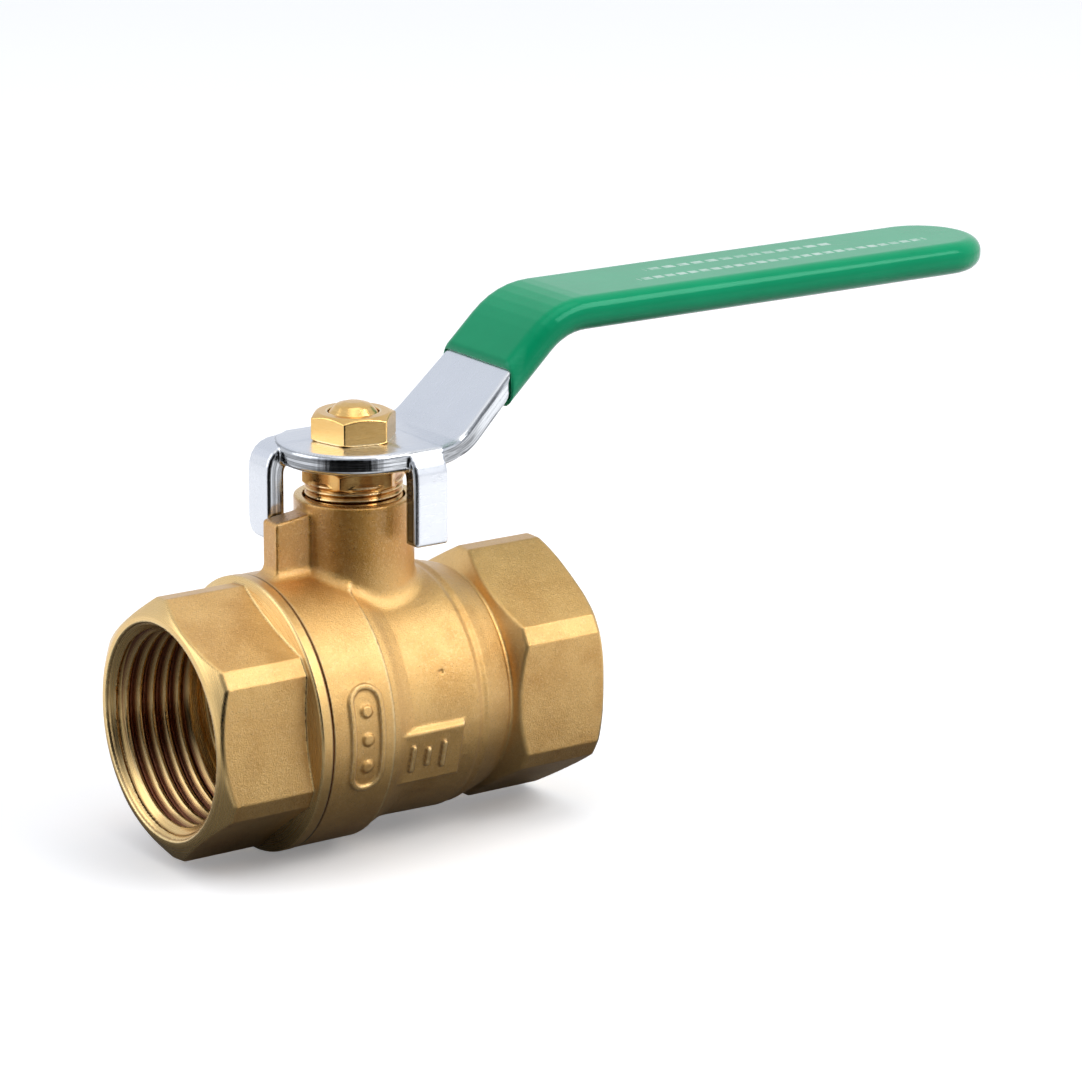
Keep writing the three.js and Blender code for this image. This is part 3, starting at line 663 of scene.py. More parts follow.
def grid_values(field, low, cell, blocks):
    """The field on a grid, worked out point by point only in the blocks that its surface may cross."""
    middles = [low[k] + cell * (BLOCK * np.arange(blocks[k]) + (BLOCK - 1) / 2) for k in range(3)]
    coarse = field(*np.meshgrid(*middles, indexing="ij")).astype(np.float32)
    values = np.broadcast_to(coarse[..., None, None, None], coarse.shape + (BLOCK,) * 3).copy()
    near = np.argwhere(np.abs(coarse) < BLOCK_REACH * cell)
    step = cell * np.arange(BLOCK)
    for batch in np.array_split(near, len(near) // BLOCKS_AT_ONCE + 1):
        corner = low + cell * BLOCK * batch
        x = corner[:, 0, None, None, None] + step[:, None, None] + np.zeros((1, 1, BLOCK, BLOCK))
        y = corner[:, 1, None, None, None] + step[:, None] + np.zeros((1, BLOCK, 1, BLOCK))
        z = corner[:, 2, None, None, None] + step + np.zeros((1, BLOCK, BLOCK, 1))
        values[tuple(batch.T)] = field(x, y, z)
    return values.transpose(0, 3, 1, 4, 2, 5).reshape([n * BLOCK for n in blocks])


def surface_net(values, low, cell):
    """The points and quads of the surface where the grid's values pass through zero."""
    inside = values < 0
    corners = [(i, j, k) for i in (0, 1) for j in (0, 1) for k in (0, 1)]
    nx, ny, nz = (n - 1 for n in values.shape)
    filled = sum(inside[i : i + nx, j : j + ny, k : k + nz].astype(np.int8) for i, j, k in corners)
    cells = np.argwhere((filled > 0) & (filled < 8))
    number = np.full(filled.shape, -1, np.int32)
    number[tuple(cells.T)] = np.arange(len(cells))
    at = {c: values[tuple((cells + c).T)] for c in corners}
    total, crossings = np.zeros((len(cells), 3)), np.zeros(len(cells))
    for axis in range(3):
        for start in corners:
            if start[axis]:
                continue
            end = tuple(c + (k == axis) for k, c in enumerate(start))
            crossed = (at[start] < 0) != (at[end] < 0)
            gap = np.where(crossed, at[start] - at[end], 1)
            point = np.tile(np.array(start, float), (len(cells), 1))
            point[:, axis] += at[start] / gap
            total += point * crossed[:, None]
            crossings += crossed
    points = low + cell * (cells + total / crossings[:, None])
    quads = []
    for axis in range(3):
        u, v = np.eye(3, dtype=int)[(axis + 1) % 3], np.eye(3, dtype=int)[(axis + 2) % 3]
        first = np.take(inside, range(inside.shape[axis] - 1), axis)
        second = np.take(inside, range(1, inside.shape[axis]), axis)
        edges = np.argwhere(first != second)
        around = [number[tuple((edges - shift).T)] for shift in (0 * u, u, u + v, v)]
        leaves = inside[tuple(edges.T)]
        loop = np.stack(around, 1)
        quads.append(np.where(leaves[:, None], loop, loop[:, ::-1]))
    return points, np.concatenate(quads)


def slope_of(field, points):
    """The field's gradient at each point."""
    x, y, z = points.T
    step = SLOPE_STEP
    along_x = field(x + step, y, z) - field(x - step, y, z)
    along_y = field(x, y + step, z) - field(x, y - step, z)
    along_z = field(x, y, z + step) - field(x, y, z - step)
    return np.stack([along_x, along_y, along_z], 1) / (2 * step)


def settle(field, points, cell):
    """Moves each point along the field's slope onto its surface."""
    for _ in range(SETTLING_STEPS):
        slope = slope_of(field, points)
        size = np.maximum((slope**2).sum(1), 0.05)
        move = np.clip(field(*points.T) / size, -cell / 2, cell / 2)
        points = points - slope * move[:, None]
    return points


def edge_and_hollow(field, points):
    """How much each point lies on an outer edge, and how much in a hollow."""
    slope = slope_of(field, points)
    normal = slope / np.maximum(np.linalg.norm(slope, axis=1, keepdims=True), 1e-6)
    edge = field(*(points - normal * EDGE_DEPTH).T) / EDGE_DEPTH + 1
    hollow = 1 - field(*(points + normal * EDGE_DEPTH).T) / EDGE_DEPTH
    return np.clip(edge, 0, 1), np.clip(hollow, 0, 1)


def mesh_object(name, points, quads, measures):
    """A smooth-shaded mesh of points in millimetres about the ball, with each measure a number per point."""
    mesh = bpy.data.meshes.new(name)
    mesh.vertices.add(len(points))
    in_frame = points * MM + np.array(BALL_CENTRE)
    mesh.vertices.foreach_set("co", in_frame.astype(np.float32).ravel())
    mesh.loops.add(quads.size)
    mesh.loops.foreach_set("vertex_index", quads.astype(np.int32).ravel())
    mesh.polygons.add(len(quads))
    mesh.polygons.foreach_set("loop_start", (np.arange(len(quads)) * quads.shape[1]).astype(np.int32))
    mesh.update(calc_edges=True)
    mesh.shade_smooth()
    for label, value in measures.items():
        layer = mesh.attributes.new(label, "FLOAT", "POINT")
        layer.data.foreach_set("value", value.astype(np.float32))
    piece = bpy.data.objects.new(name, mesh)
    bpy.context.scene.collection.objects.link(piece)
    return piece


# ---- materials ----


def connect(tree, made, inputs):
    """Gives a shader node its inputs, each a value or another node's output."""
    for key, value in inputs.items():
        if isinstance(value, bpy.types.NodeSocket):
            tree.links.new(value, made.inputs[key])
        else:
            made.inputs[key].default_value = value


class Paint:
    """Adds shader nodes to one tree. An input is a value or an output that another method returned."""

    def __init__(self, tree):
        self.tree = tree

    def add(self, kind, inputs, **settings):
        """A new node's outputs."""
        made = self.tree.nodes.new("ShaderNode" + kind)
        for key, value in settings.items():
            setattr(made, key, value)
        connect(self.tree, made, inputs)
        return made.outputs

    def maths(self, operation, a, b=0.0):
        return self.add("Math", {0: a, 1: b}, operation=operation)[0]

    def times(self, a, b):
        return self.maths("MULTIPLY", a, b)

    def most(self, a, b):
        return self.maths("MAXIMUM", a, b)

    def off(self, a, b):
        """How far apart two numbers are."""
        return self.maths("ABSOLUTE", self.maths("SUBTRACT", a, b))

    def remap(self, value, low, high, to_low=0.0, to_high=1.0):
        inputs = {"Value": value, "From Min": low, "From Max": high, "To Min": to_low, "To Max": to_high}
        return self.add("MapRange", inputs)[0]

    def blend(self, share, a, b, kind="MIX"):
        """A colour part of the way from a to b."""
        return self.add("Mix", {0: share, 6: a, 7: b}, data_type="RGBA", blend_type=kind)[2]

    def blend_numbers(self, share, a, b):
        return self.add("Mix", {0: share, 2: a, 3: b}, data_type="FLOAT")[0]

    def vector(self, operation, a, b=(0, 0, 0)):
        return self.add("VectorMath", {0: a, 1: b}, operation=operation)

    def length(self, vector):
        return self.vector("LENGTH", vector)["Value"]

    def stretched(self, where, x, y, z):
        return self.vector("MULTIPLY", where, (x, y, z))[0]

    def parts(self, vector):
        """A vector's x, y and z."""
        return self.add("SeparateXYZ", {0: vector})

    def place(self):
        """The point being shaded, in millimetres about the ball's centre, riding with its piece."""
        here = self.add("TexCoord", {})["Object"]
        return self.stretched(self.vector("SUBTRACT", here, BALL_CENTRE)[0], 1 / MM, 1 / MM, 1 / MM)

    def noise(self, where, scale, detail=3.0, roughness=0.5):
        inputs = {"Vector": where, "Scale": scale, "Detail": detail, "Roughness": roughness}
        return self.add("TexNoise", inputs)[0]

    def measure(self, label):
        return self.add("Attribute", {}, attribute_name=label)["Fac"]

    def bump(self, height, depth_mm, strength):
        return self.add("Bump", {"Height": height, "Distance": depth_mm * MM, "Strength": strength})[0]


def finished(name, finish):
    """A material whose Principled shader takes the inputs that finish returns."""
    material = bpy.data.materials.new(name)
    material.use_nodes = True
    tree = material.node_tree
    connect(tree, tree.nodes["Principled BSDF"], finish(Paint(tree)))
    return material


def colour(red, green, blue):
    return (red, green, blue, 1)


CAST_DEEP = colour(0.62, 0.34, 0.09)
CAST_PALE = colour(0.86, 0.55, 0.19)
STAIN_AND_BONNET_SHADE = colour(0.56, 0.27, 0.05)
CAST_FLECK = colour(0.95, 0.70, 0.34)
CAST_SPECK = colour(0.30, 0.14, 0.04)
TURNED_DEEP = colour(0.74, 0.48, 0.18)
TURNED_PALE = colour(0.86, 0.61, 0.27)
WORN_BRASS = colour(0.96, 0.74, 0.38)
HOLLOW_AND_SEAM_SHADE = colour(0.22, 0.09, 0.025)
THREAD_ROOT_SHADE = colour(0.20, 0.060, 0.035)
BONNET_ROOT = (20.0, 25.0)
SEAM_SHADE = (0.12, 0.42)
CAST_BUMP = 0.095


def thread_roots(paint, x, radius):
    """How much painted shade the grooves of the pipe threads get: 1 at the bottom of a groove."""
    root = paint.remap(radius, THREAD_MINOR_R + 0.12, THREAD_MINOR_R + 0.75, 0.0, 0.92)
    before_wall = paint.maths("LESS_THAN", radius, THREAD_MAJOR_R + 0.1)
    in_socket = 0.0
    for mouth_x in (END_X, BODY_END_X):
        depth = paint.off(x, mouth_x)
        past_mouth = paint.maths("GREATER_THAN", depth, MOUTH_DEPTH)
        before_end = paint.maths("LESS_THAN", depth, THREAD_DEPTH)
        in_socket = paint.most(in_socket, paint.times(past_mouth, before_end))
    return paint.times(root, paint.times(in_socket, before_wall))


def forged_brass(paint):
    """Blasted forging: stains, flecks and specks, turned faces, bright worn edges, and painted shade over the
    bonnet, in hollows, along the joint's seam and in the thread roots.
    """
    where = paint.place()
    x, _, z = paint.parts(where)
    pipe_radius = paint.length(paint.stretched(where, 0, 1, 1))
    turned = paint.measure("turned")
    bonnet = paint.remap(z, *BONNET_ROOT)
    pits = paint.noise(where, 1.1, 4.0, 0.7)
    mottle = paint.noise(where, 0.16, 3.0, 0.55)

    stains = paint.remap(paint.noise(where, 0.07, 4.0, 0.6), 0.50, 0.68, 0.0, 0.7)
    flecks = paint.remap(paint.noise(where, 2.2, 2.0, 0.7), 0.50, 0.70, 0.0, 0.30)
    specks = paint.remap(paint.noise(where, 5.5, 2.0), 0.28, 0.42, 0.55, 0.0)
    cast = paint.blend(mottle, CAST_DEEP, CAST_PALE)
    # Random stains, and painted shade that darkens the bonnet from its root upwards, both in the stain
    # colour.
    cast = paint.blend(paint.most(stains, paint.times(bonnet, 0.85)), cast, STAIN_AND_BONNET_SHADE)
    cast = paint.blend(flecks, cast, CAST_FLECK)
    cast = paint.blend(specks, cast, CAST_SPECK)
    base = paint.blend(turned, cast, paint.blend(mottle, TURNED_DEEP, TURNED_PALE))

    worn = paint.times(paint.remap(paint.measure("edge"), 0.05, 0.5), paint.remap(pits, 0.3, 0.6, 0.3, 0.85))
    # Painted shade: the hollows and the seam at the joint are darkened towards a deep brown.
    hollow_shade = paint.remap(paint.measure("hollow"), 0.1, 0.7, 0.0, 0.75)
    seam = paint.remap(paint.off(x, JOINT_X), *SEAM_SHADE, 0.9, 0.0)
    base = paint.blend(worn, base, WORN_BRASS)
    base = paint.blend(paint.most(hollow_shade, seam), base, HOLLOW_AND_SEAM_SHADE)
    # Painted shade at the bottom of the thread grooves, a dark red-brown.
    base = paint.blend(thread_roots(paint, x, pipe_radius), base, THREAD_ROOT_SHADE)

    lathe_lines = paint.noise(paint.add("CombineXYZ", {0: x, 1: pipe_radius})[0], 9.0, 2.0)
    rough_cast = paint.times(paint.remap(pits, 0.3, 0.7, 0.34, 0.46), paint.remap(bonnet, 0, 1, 1.0, 0.75))
    rough_turned = paint.remap(lathe_lines, 0.3, 0.7, 0.22, 0.32)
    cast_height = paint.maths("ADD", paint.noise(where, 3.8, 4.0, 0.72), paint.times(pits, 0.7))
    turned_height = paint.times(lathe_lines, 0.25)
    return {
        "Base Color": base,
        "Metallic": 1.0,
        "Roughness": paint.blend_numbers(turned, rough_cast, rough_turned),
        "Coat Weight": paint.remap(turned, 0, 1, 0.75, 0.2),
        "Coat Roughness": paint.remap(bonnet, 0, 1, 0.42, 0.28),
        "Normal": paint.bump(paint.blend_numbers(turned, cast_height, turned_height), CAST_BUMP, 1.0),
    }


POLISHED_DEEP = colour(0.78, 0.45, 0.13)
POLISHED_PALE = colour(0.92, 0.62, 0.25)
UNDER_LEVER_SHADE = colour(0.42, 0.15, 0.025)
BRIGHT_EDGE = colour(1.0, 0.84, 0.52)
NUT_HOLLOW_SHADE = colour(0.30, 0.13, 0.035)
UNDER_LEVER_SHADE_TOP_Z = (37.0, 38.5)


def polished_brass(paint):
    """Machined brass, smeared and finely scratched, with painted shade in patches below the lever and in its
    hollows.
    """
    where = paint.place()
    height = paint.parts(where)[2]
    smear = paint.noise(paint.stretched(where, 1.0, 1.0, 4.0), 0.9)
    scratches = paint.noise(paint.stretched(where, 1.0, 1.0, 9.0), 2.4, 2.0)
    patches = paint.noise(paint.stretched(where, 1.0, 1.0, 0.4), 0.45, 2.0)
    patches = paint.remap(patches, 0.4, 0.6, 0.35, 1.0)
    # Painted shade in patches below the lever plate, where its shadow falls.
    under_lever_shade = paint.times(paint.remap(height, *UNDER_LEVER_SHADE_TOP_Z, 0.85, 0.0), patches)
    base = paint.blend(smear, POLISHED_DEEP, POLISHED_PALE)
    base = paint.blend(under_lever_shade, base, UNDER_LEVER_SHADE)
    base = paint.blend(paint.remap(paint.measure("edge"), 0.1, 0.5, 0.0, 0.6), base, BRIGHT_EDGE)
    # Painted shade in the hollows.
    base = paint.blend(paint.remap(paint.measure("hollow"), 0.1, 0.6, 0.0, 0.6), base, NUT_HOLLOW_SHADE)
    return {
        "Base Color": base,
        "Metallic": 1.0,
        "Roughness": paint.remap(smear, 0.3, 0.7, 0.12, 0.24),
        "Normal": paint.bump(scratches, 0.02, 0.6),
    }


PLATE_DEEP = colour(0.74, 0.76, 0.80)
PLATE_PALE = colour(0.82, 0.84, 0.87)
RIM_REFLECTION_TONE = colour(0.55, 0.57, 0.58)
RIM_REFLECTION_STREAK = colour(0.10, 0.105, 0.11)
PLATE_EDGE_TONE = colour(0.93, 0.94, 0.95)


def plated_steel(paint):
    """Zinc plate: satin faces with faint brushing, and a brighter sheared rim, darkened and streaked along
    its length by painted reflections.
    """
    where = paint.place()
    rim = paint.measure("rim")
    brushing = paint.noise(paint.stretched(where, 0.12, 3.0, 1.2), 1.6, 3.0, 0.6)
    shear = paint.noise(paint.stretched(where, 1.6, 1.6, 0.1), 1.5, 3.0, 0.6)
    haze = paint.noise(where, 0.14, 3.0, 0.6)
    along = paint.times(paint.parts(where)[0], 0.12)
    across = paint.times(paint.measure("depth"), 4.5)
    reflection_streaks = paint.noise(paint.add("CombineXYZ", {0: along, 1: across})[0], 1.0, 3.0, 0.6)
    base = paint.blend(haze, PLATE_DEEP, PLATE_PALE)
    # Painted reflections: the sheared rim darkened, then streaked dark along its length.
    base = paint.blend(paint.times(rim, 0.35), base, RIM_REFLECTION_TONE)
    base = paint.blend(paint.times(rim, paint.remap(reflection_streaks, 0.42, 0.58, 0.0, 0.8)), base, RIM_REFLECTION_STREAK)
    base = paint.blend(paint.remap(paint.measure("edge"), 0.1, 0.6, 0.0, 0.5), base, PLATE_EDGE_TONE)
    satin = paint.remap(brushing, 0.3, 0.7, 0.26, 0.31)
    bright = paint.remap(shear, 0.3, 0.7, 0.10, 0.22)
    relief = paint.blend_numbers(rim, brushing, shear)
    return {
        "Base Color": base,
        "Metallic": 1.0,
        "Roughness": paint.blend_numbers(rim, satin, bright),
        "Normal": paint.bump(relief, 0.03, paint.remap(rim, 0, 1, 0.05, 0.7)),
    }


def printed_dashes(paint, where):
    """Two rows of plain worn dashes along the top of the grip."""
    x, y, z = paint.parts(where)
    rows = 0.0
    for row_y, start_x, end_x, dash in DASH_ROWS:
        on_row = paint.maths("LESS_THAN", paint.off(y, row_y), DASH_HALF_WIDTH)
        in_row = paint.maths("LESS_THAN", paint.off(x, (start_x + end_x) / 2), (end_x - start_x) / 2)
        phase = paint.maths("FRACT", paint.maths("DIVIDE", x, dash))
        inked = paint.times(paint.maths("LESS_THAN", phase, DASH_SHARE), paint.times(on_row, in_row))
        rows = paint.most(rows, inked)
    on_top = paint.maths("GREATER_THAN", z, HANDLE_MID_Z + 0.45 * GRIP_THICKNESS)
    wear = paint.remap(paint.noise(where, 0.5, 3.0, 0.6), 0.35, 0.6, 0.25, 0.7)
    return paint.times(paint.times(rows, on_top), wear)


VINYL_DEEP = colour(0.0, 0.26, 0.105)
VINYL_PALE = colour(0.002, 0.33, 0.140)
VINYL_RUBBED = colour(0.10, 0.50, 0.30)
VINYL_GLINT = colour(0.35, 1.0, 0.80)
DASH_INK = colour(0.60, 0.72, 0.66)


def green_vinyl(paint):
    """Glossy dipped vinyl, a little uneven, rubbed at its edges and printed with plain dashes."""
    where = paint.place()
    peel = paint.noise(where, 0.55, 2.0, 0.4)
    cloud = paint.noise(where, 0.09)
    scuffs = paint.noise(paint.stretched(where, 0.3, 2.0, 2.0), 1.1, 4.0, 0.7)
    rubbed = paint.times(paint.remap(paint.measure("edge"), 0.05, 0.4, 0.0, 0.3), scuffs)
    base = paint.blend(cloud, VINYL_DEEP, VINYL_PALE)
    base = paint.blend(rubbed, base, VINYL_RUBBED)
    base = paint.blend(printed_dashes(paint, where), base, DASH_INK)
    return {
        "Base Color": base,
        "Roughness": paint.remap(scuffs, 0.3, 0.7, 0.10, 0.20),
        "IOR": 1.36,
        "Specular Tint": VINYL_GLINT,
        "Normal": paint.bump(peel, 0.04, 0.4),
    }


def ball_chrome(paint):
    """Mirror chrome with a faint haze and wiping marks."""
    where = paint.place()
    haze = paint.noise(where, 0.25, 3.0, 0.6)
    wiped = paint.noise(paint.stretched(where, 1.0, 1.0, 6.0), 1.2)
    return {
        "Base Color": paint.blend(haze, colour(0.70, 0.72, 0.76), colour(0.80, 0.81, 0.84)),
        "Metallic": 1.0,
        "Roughness": paint.remap(wiped, 0.3, 0.7, 0.05, 0.12),
        "Normal": paint.bump(wiped, 0.004, 0.5),
    }


def white_ptfe(paint):
    """Waxy white PTFE."""
    where = paint.place()
    cloud = paint.noise(where, 0.5)
    return {
        "Base Color": paint.blend(cloud, colour(0.78, 0.77, 0.72), colour(0.88, 0.88, 0.85)),
        "Roughness": paint.remap(cloud, 0.3, 0.7, 0.40, 0.55),
        "Subsurface Weight": 0.15,
        "Subsurface Scale": 0.5 * MM,
        "Normal": paint.bump(paint.noise(where, 2.5, 2.0), 0.02, 0.4),
    }


def black_rubber(paint):
    """Matte black rubber with a grey bloom."""
    where = paint.place()
    bloom = paint.noise(where, 0.8, 4.0, 0.6)
    return {
        "Base Color": paint.blend(bloom, colour(0.010, 0.010, 0.011), colour(0.035, 0.034, 0.033)),
        "Roughness": paint.remap(bloom, 0.3, 0.7, 0.55, 0.8),
        "Normal": paint.bump(paint.noise(where, 4.0, 2.0), 0.03, 0.5),
    }


# The material of each of the record's slots.
MATERIALS = {
    "forged_brass": finished("forged_brass", forged_brass),
    "polished_brass": finished("polished_brass", polished_brass),
    "plated_steel": finished("plated_steel", plated_steel),
    "vinyl": finished("green_vinyl", green_vinyl),
    "chromed_ball": finished("ball_chrome", ball_chrome),
    "ptfe": finished("white_ptfe", white_ptfe),
    "seal_rubber": finished("black_rubber", black_rubber),
}

# ---- pieces ----

SUBPARTS = frame["record"]["subparts"]
SLOT_OF = {part["node"]: part["material_slot"] for part in SUBPARTS}
BODIES = frame["record"]["behaviour"]["bodies"]
BODY_OF = {cad_node: body for body, members in BODIES.items() for cad_node in members}
GRID_MARGIN = 0.8
LATHE_FACETS = 160


def place(piece, cad_node):
    """The piece stands for a CAD node: it rides on that node's body and takes its slot and its material."""
    piece.data.materials.append(MATERIALS[SLOT_OF[cad_node]])
    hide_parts(cad_node)
    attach(piece, BODY_OF[cad_node])


def make_piece(name, cad_node, field, cell, more_measures):
    """A mesh of a field, as fine as cell millimetres, in place of a CAD node."""
    low, high = [np.array((corner - BALL_CENTRE) / MM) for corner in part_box(cad_node)]
    margin = 4 * cell + GRID_MARGIN
    low = low - margin
    blocks = np.ceil((high + margin - low) / (cell * BLOCK)).astype(int)
    points, quads = surface_net(grid_values(field, low, cell, blocks), low, cell)
    points = settle(field, points, cell)
    edge, hollow = edge_and_hollow(field, points)
    measures = {"edge": edge, "hollow": hollow}
    for label, rule in more_measures.items():
        measures[label] = rule(*points.T)
    place(mesh_object(name, points, quads, measures), cad_node)


def make_ring(name, cad_node, axis, corners):
    """A ring turned from a closed outline of (along, radius, fillet) corners about the x or the z axis."""
    outline = rounded(corners)
    size = len(outline)
    angle = np.repeat(np.arange(LATHE_FACETS) * TAU / LATHE_FACETS, size)
    along = np.tile(outline[:, 0], LATHE_FACETS)
    radius = np.tile(outline[:, 1], LATHE_FACETS)
    across, up = radius * np.cos(angle), radius * np.sin(angle)
    points = np.stack([along, across, up] if axis == "x" else [across, up, along], 1)
    i = np.arange(size * LATHE_FACETS)
    next_point = i - i % size + (i + 1) % size
    quads = np.stack([i, next_point, (next_point + size) % len(i), (i + size) % len(i)], 1)
    turned_area = outline[:, 0] * np.roll(outline[:, 1], -1) - np.roll(outline[:, 0], -1) * outline[:, 1]
    if turned_area.sum() > 0:
        quads = quads[:, ::-1]
    place(mesh_object(name, points, quads, {}), cad_node)


# Where the turned chamfers of the two hexagons begin, and the turned shoulder behind the body's.
BODY_CHAMFER_X = 33.3
CONNECTOR_CHAMFER_X = -32.5
NECK_SHOULDER_X = (17.3, 22.0)
TURNED_REACH = 0.25


def near_zero(distance, reach):
    """1 on a surface, falling to 0 at one and a half times the reach from it."""
    return np.clip(1.5 - np.abs(distance) / reach, 0, 1)


def body_turned(x, y, z):
    """Where the body was machined: its bores, its end face and chamfer, the bonnet's top, the joint's rim."""
    on_turning = near_zero(BODY_HEX_TURNING(x, np.hypot(y, z)), TURNED_REACH)
    on_shoulder = (x > NECK_SHOULDER_X[0]) * (x < NECK_SHOULDER_X[1])
    turned = near_zero(body_void(x, y, z), TURNED_REACH)
    turned = np.maximum(turned, (x > BODY_CHAMFER_X) * on_turning)
    turned = np.maximum(turned, 0.4 * on_shoulder * on_turning)
    turned = np.maximum(turned, near_zero(z - BONNET_TOP_Z, 0.15) * (np.hypot(x, y) < BONNET_R))
    return np.maximum(turned, near_zero(x - JOINT_X, 0.2))


def connector_turned(x, y, z):
    """Where the connector was machined: its bores, both ends of its hexagon, its collar and its spigot."""
    radius = np.hypot(y, z)
    turned = near_zero(connector_void(x, y, z), TURNED_REACH)
    on_chamfer = (x < CONNECTOR_CHAMFER_X) * near_zero(CONNECTOR_HEX_TURNING(x, radius), TURNED_REACH)
    on_flange = near_zero(CONNECTOR_FLANGE(x, radius), TURNED_REACH)
    turned = np.maximum(turned, on_chamfer)
    return np.maximum(turned, np.where(x < COLLAR_X + 0.1, 1, 0.3) * on_flange)


def lever_sheet(x, y, z):
    """The distances from the two faces and from the sheared rim of whichever part of the sheet is nearest."""
    faces = np.stack([LEVER_SIDE(x, z), TAB_SIDE(-x, z), TAB_SIDE(-y, z)])
    rims = np.stack([LEVER_PLAN(x, y), BACK_TAB_FACE(y, z), FRONT_TAB_FACE(x, z)])
    nearest = np.maximum(faces, rims).argmin(0)[None]
    return np.take_along_axis(faces, nearest, 0)[0], np.take_along_axis(rims, nearest, 0)[0]


def lever_rim(x, y, z):
    """Where the lever's surface is the sheared rim of the sheet and not one of its two faces."""
    face, rim = lever_sheet(x, y, z)
    return np.clip((rim - face) / 0.4 + 0.5, 0, 1)


def lever_depth(x, y, z):
    """How deep in the sheet's thickness a point lies: 0 at either face and 1 half way."""
    return np.clip(-lever_sheet(x, y, z)[0] / (PLATE / 2), 0, 1)


# Each piece with its CAD node, its field, its cell in millimetres and the measures of its own.
PIECES = (
    ("body_forging", "body", body_field, 0.26, {"turned": body_turned}),
    ("end_connector_turned", "end_connector", connector_field, 0.26, {"turned": connector_turned}),
    ("ball_drilled", "ball", ball_field, 0.27, {}),
    ("stem_turned", "stem", stem_field, 0.14, {}),
    ("gland_nut_turned", "gland_nut", gland_field, 0.12, {}),
    ("handle_nut_turned", "handle_nut", handle_nut_field, 0.1, {}),
    ("lever_plate", "lever", lever_field, 0.24, {"rim": lever_rim, "depth": lever_depth}),
    ("lever_grip_sleeve", "lever_grip", grip_field, 0.27, {}),
)


def seat_section(side):
    """A seat's section: its inner edge follows the ball."""
    clear_r = BALL_R + RUN_GAP
    start = math.degrees(math.asin(SEAT_INNER_R / clear_r))
    end = math.degrees(math.acos(SEAT_NOSE_X / clear_r))
    corners = [(SEAT_BACK_X, SEAT_OUTER_R, 0.3), (SEAT_BACK_X, SEAT_INNER_R, 0.3)]
    corners += arc(0, 0, clear_r, start, end, 8) + [(SEAT_NOSE_X, SEAT_OUTER_R, 0.2)]
    return [(side * x, radius, fillet) for x, radius, fillet in corners]


def plain_section(low, high, inner_r, outer_r, fillet):
    """The section of a ring with flat sides."""
    corners = [(low, inner_r), (low, outer_r), (high, outer_r), (high, inner_r)]
    return [(along, radius, fillet) for along, radius in corners]


def packing_section(index):
    """One ring of the nested stem packing, flat below on the first and flat above on the last."""
    height = (PACKING_TOP_Z - BOX_FLOOR_Z) / 3
    low = BOX_FLOOR_Z + index * height
    inner, outer, vee = STEM_HOLE_R, BOX_R - RUN_GAP, 0.7
    middle = (inner + outer) / 2
    foot, head = vee * (index > 0), vee * (index < 2)
    corners = [(low, inner), (low + foot, middle), (low, outer)]
    corners += [(low + height, outer), (low + height + head, middle), (low + height, inner)]
    return [(z, radius, 0.12) for z, radius in corners]


WASHER = plain_section(STEM_COLLAR_Z[1], COUNTERBORE_TOP_Z, STEM_HOLE_R, STEM_COLLAR_R, 0.15)
SEAL = plain_section(JOINT_X, JOINT_X + SEAL_DEPTH, JOINT_THREAD_R + RUN_GAP, SEAL_OUTER_R, 0.3)

# Each ring with its CAD node, its axis and its section.
RINGS = (
    ("seat_body_side", "seat_ring_body_side", "x", seat_section(1)),
    ("seat_connector_side", "seat_ring_connector_side", "x", seat_section(-1)),
    ("thrust_washer", "stem_thrust_washer", "z", WASHER),
    ("joint_seal", "body_seal_ring", "x", SEAL),
    ("packing_lower", "packing_ring_lower", "z", packing_section(0)),
    ("packing_middle", "packing_ring_middle", "z", packing_section(1)),
    ("packing_upper", "packing_ring_upper", "z", packing_section(2)),
)

for piece in PIECES:
    make_piece(*piece)
for ring in RINGS:
    make_ring(*ring)

# ---- the studio ----

# A direction is an azimuth, turning from -Y towards +X, and an elevation, both in degrees. The camera's
# offset is how far it stands right, up and back from the ball, in millimetres.
CAMERA_AZIMUTH = -34.664
CAMERA_ELEVATION = 15.904
CAMERA_ROLL = 0.397
CAMERA_OFFSET = (29.246, 23.878, 670.444)
CAMERA_LENS = 141.91
SENSOR = 36.0
CAMERA_REACH = (0.05, 20)


def facing_ball(azimuth, elevation, roll, offset_mm):
    """The place of something that looks towards the ball from a direction, offset along its own axes."""
    turn = Matrix.Rotation(math.radians(azimuth), 4, "Z")
    tilt = Matrix.Rotation(math.radians(90 - elevation), 4, "X")
    roll = Matrix.Rotation(math.radians(roll), 4, "Z")
    offset = Matrix.Translation(Vector(offset_mm) * MM)
    return Matrix.Translation(BALL_CENTRE) @ turn @ tilt @ roll @ offset


def make_camera():
    """A long lens on the whole valve, with the lever reaching away to the right."""
    data = bpy.data.cameras.new("camera")
    data.lens = CAMERA_LENS
    data.sensor_width = SENSOR
    data.clip_start, data.clip_end = CAMERA_REACH
    camera = bpy.data.objects.new("camera", data)
    camera.matrix_world = facing_ball(CAMERA_AZIMUTH, CAMERA_ELEVATION, CAMERA_ROLL, CAMERA_OFFSET)
    bpy.context.scene.collection.objects.link(camera)
    bpy.context.scene.camera = camera


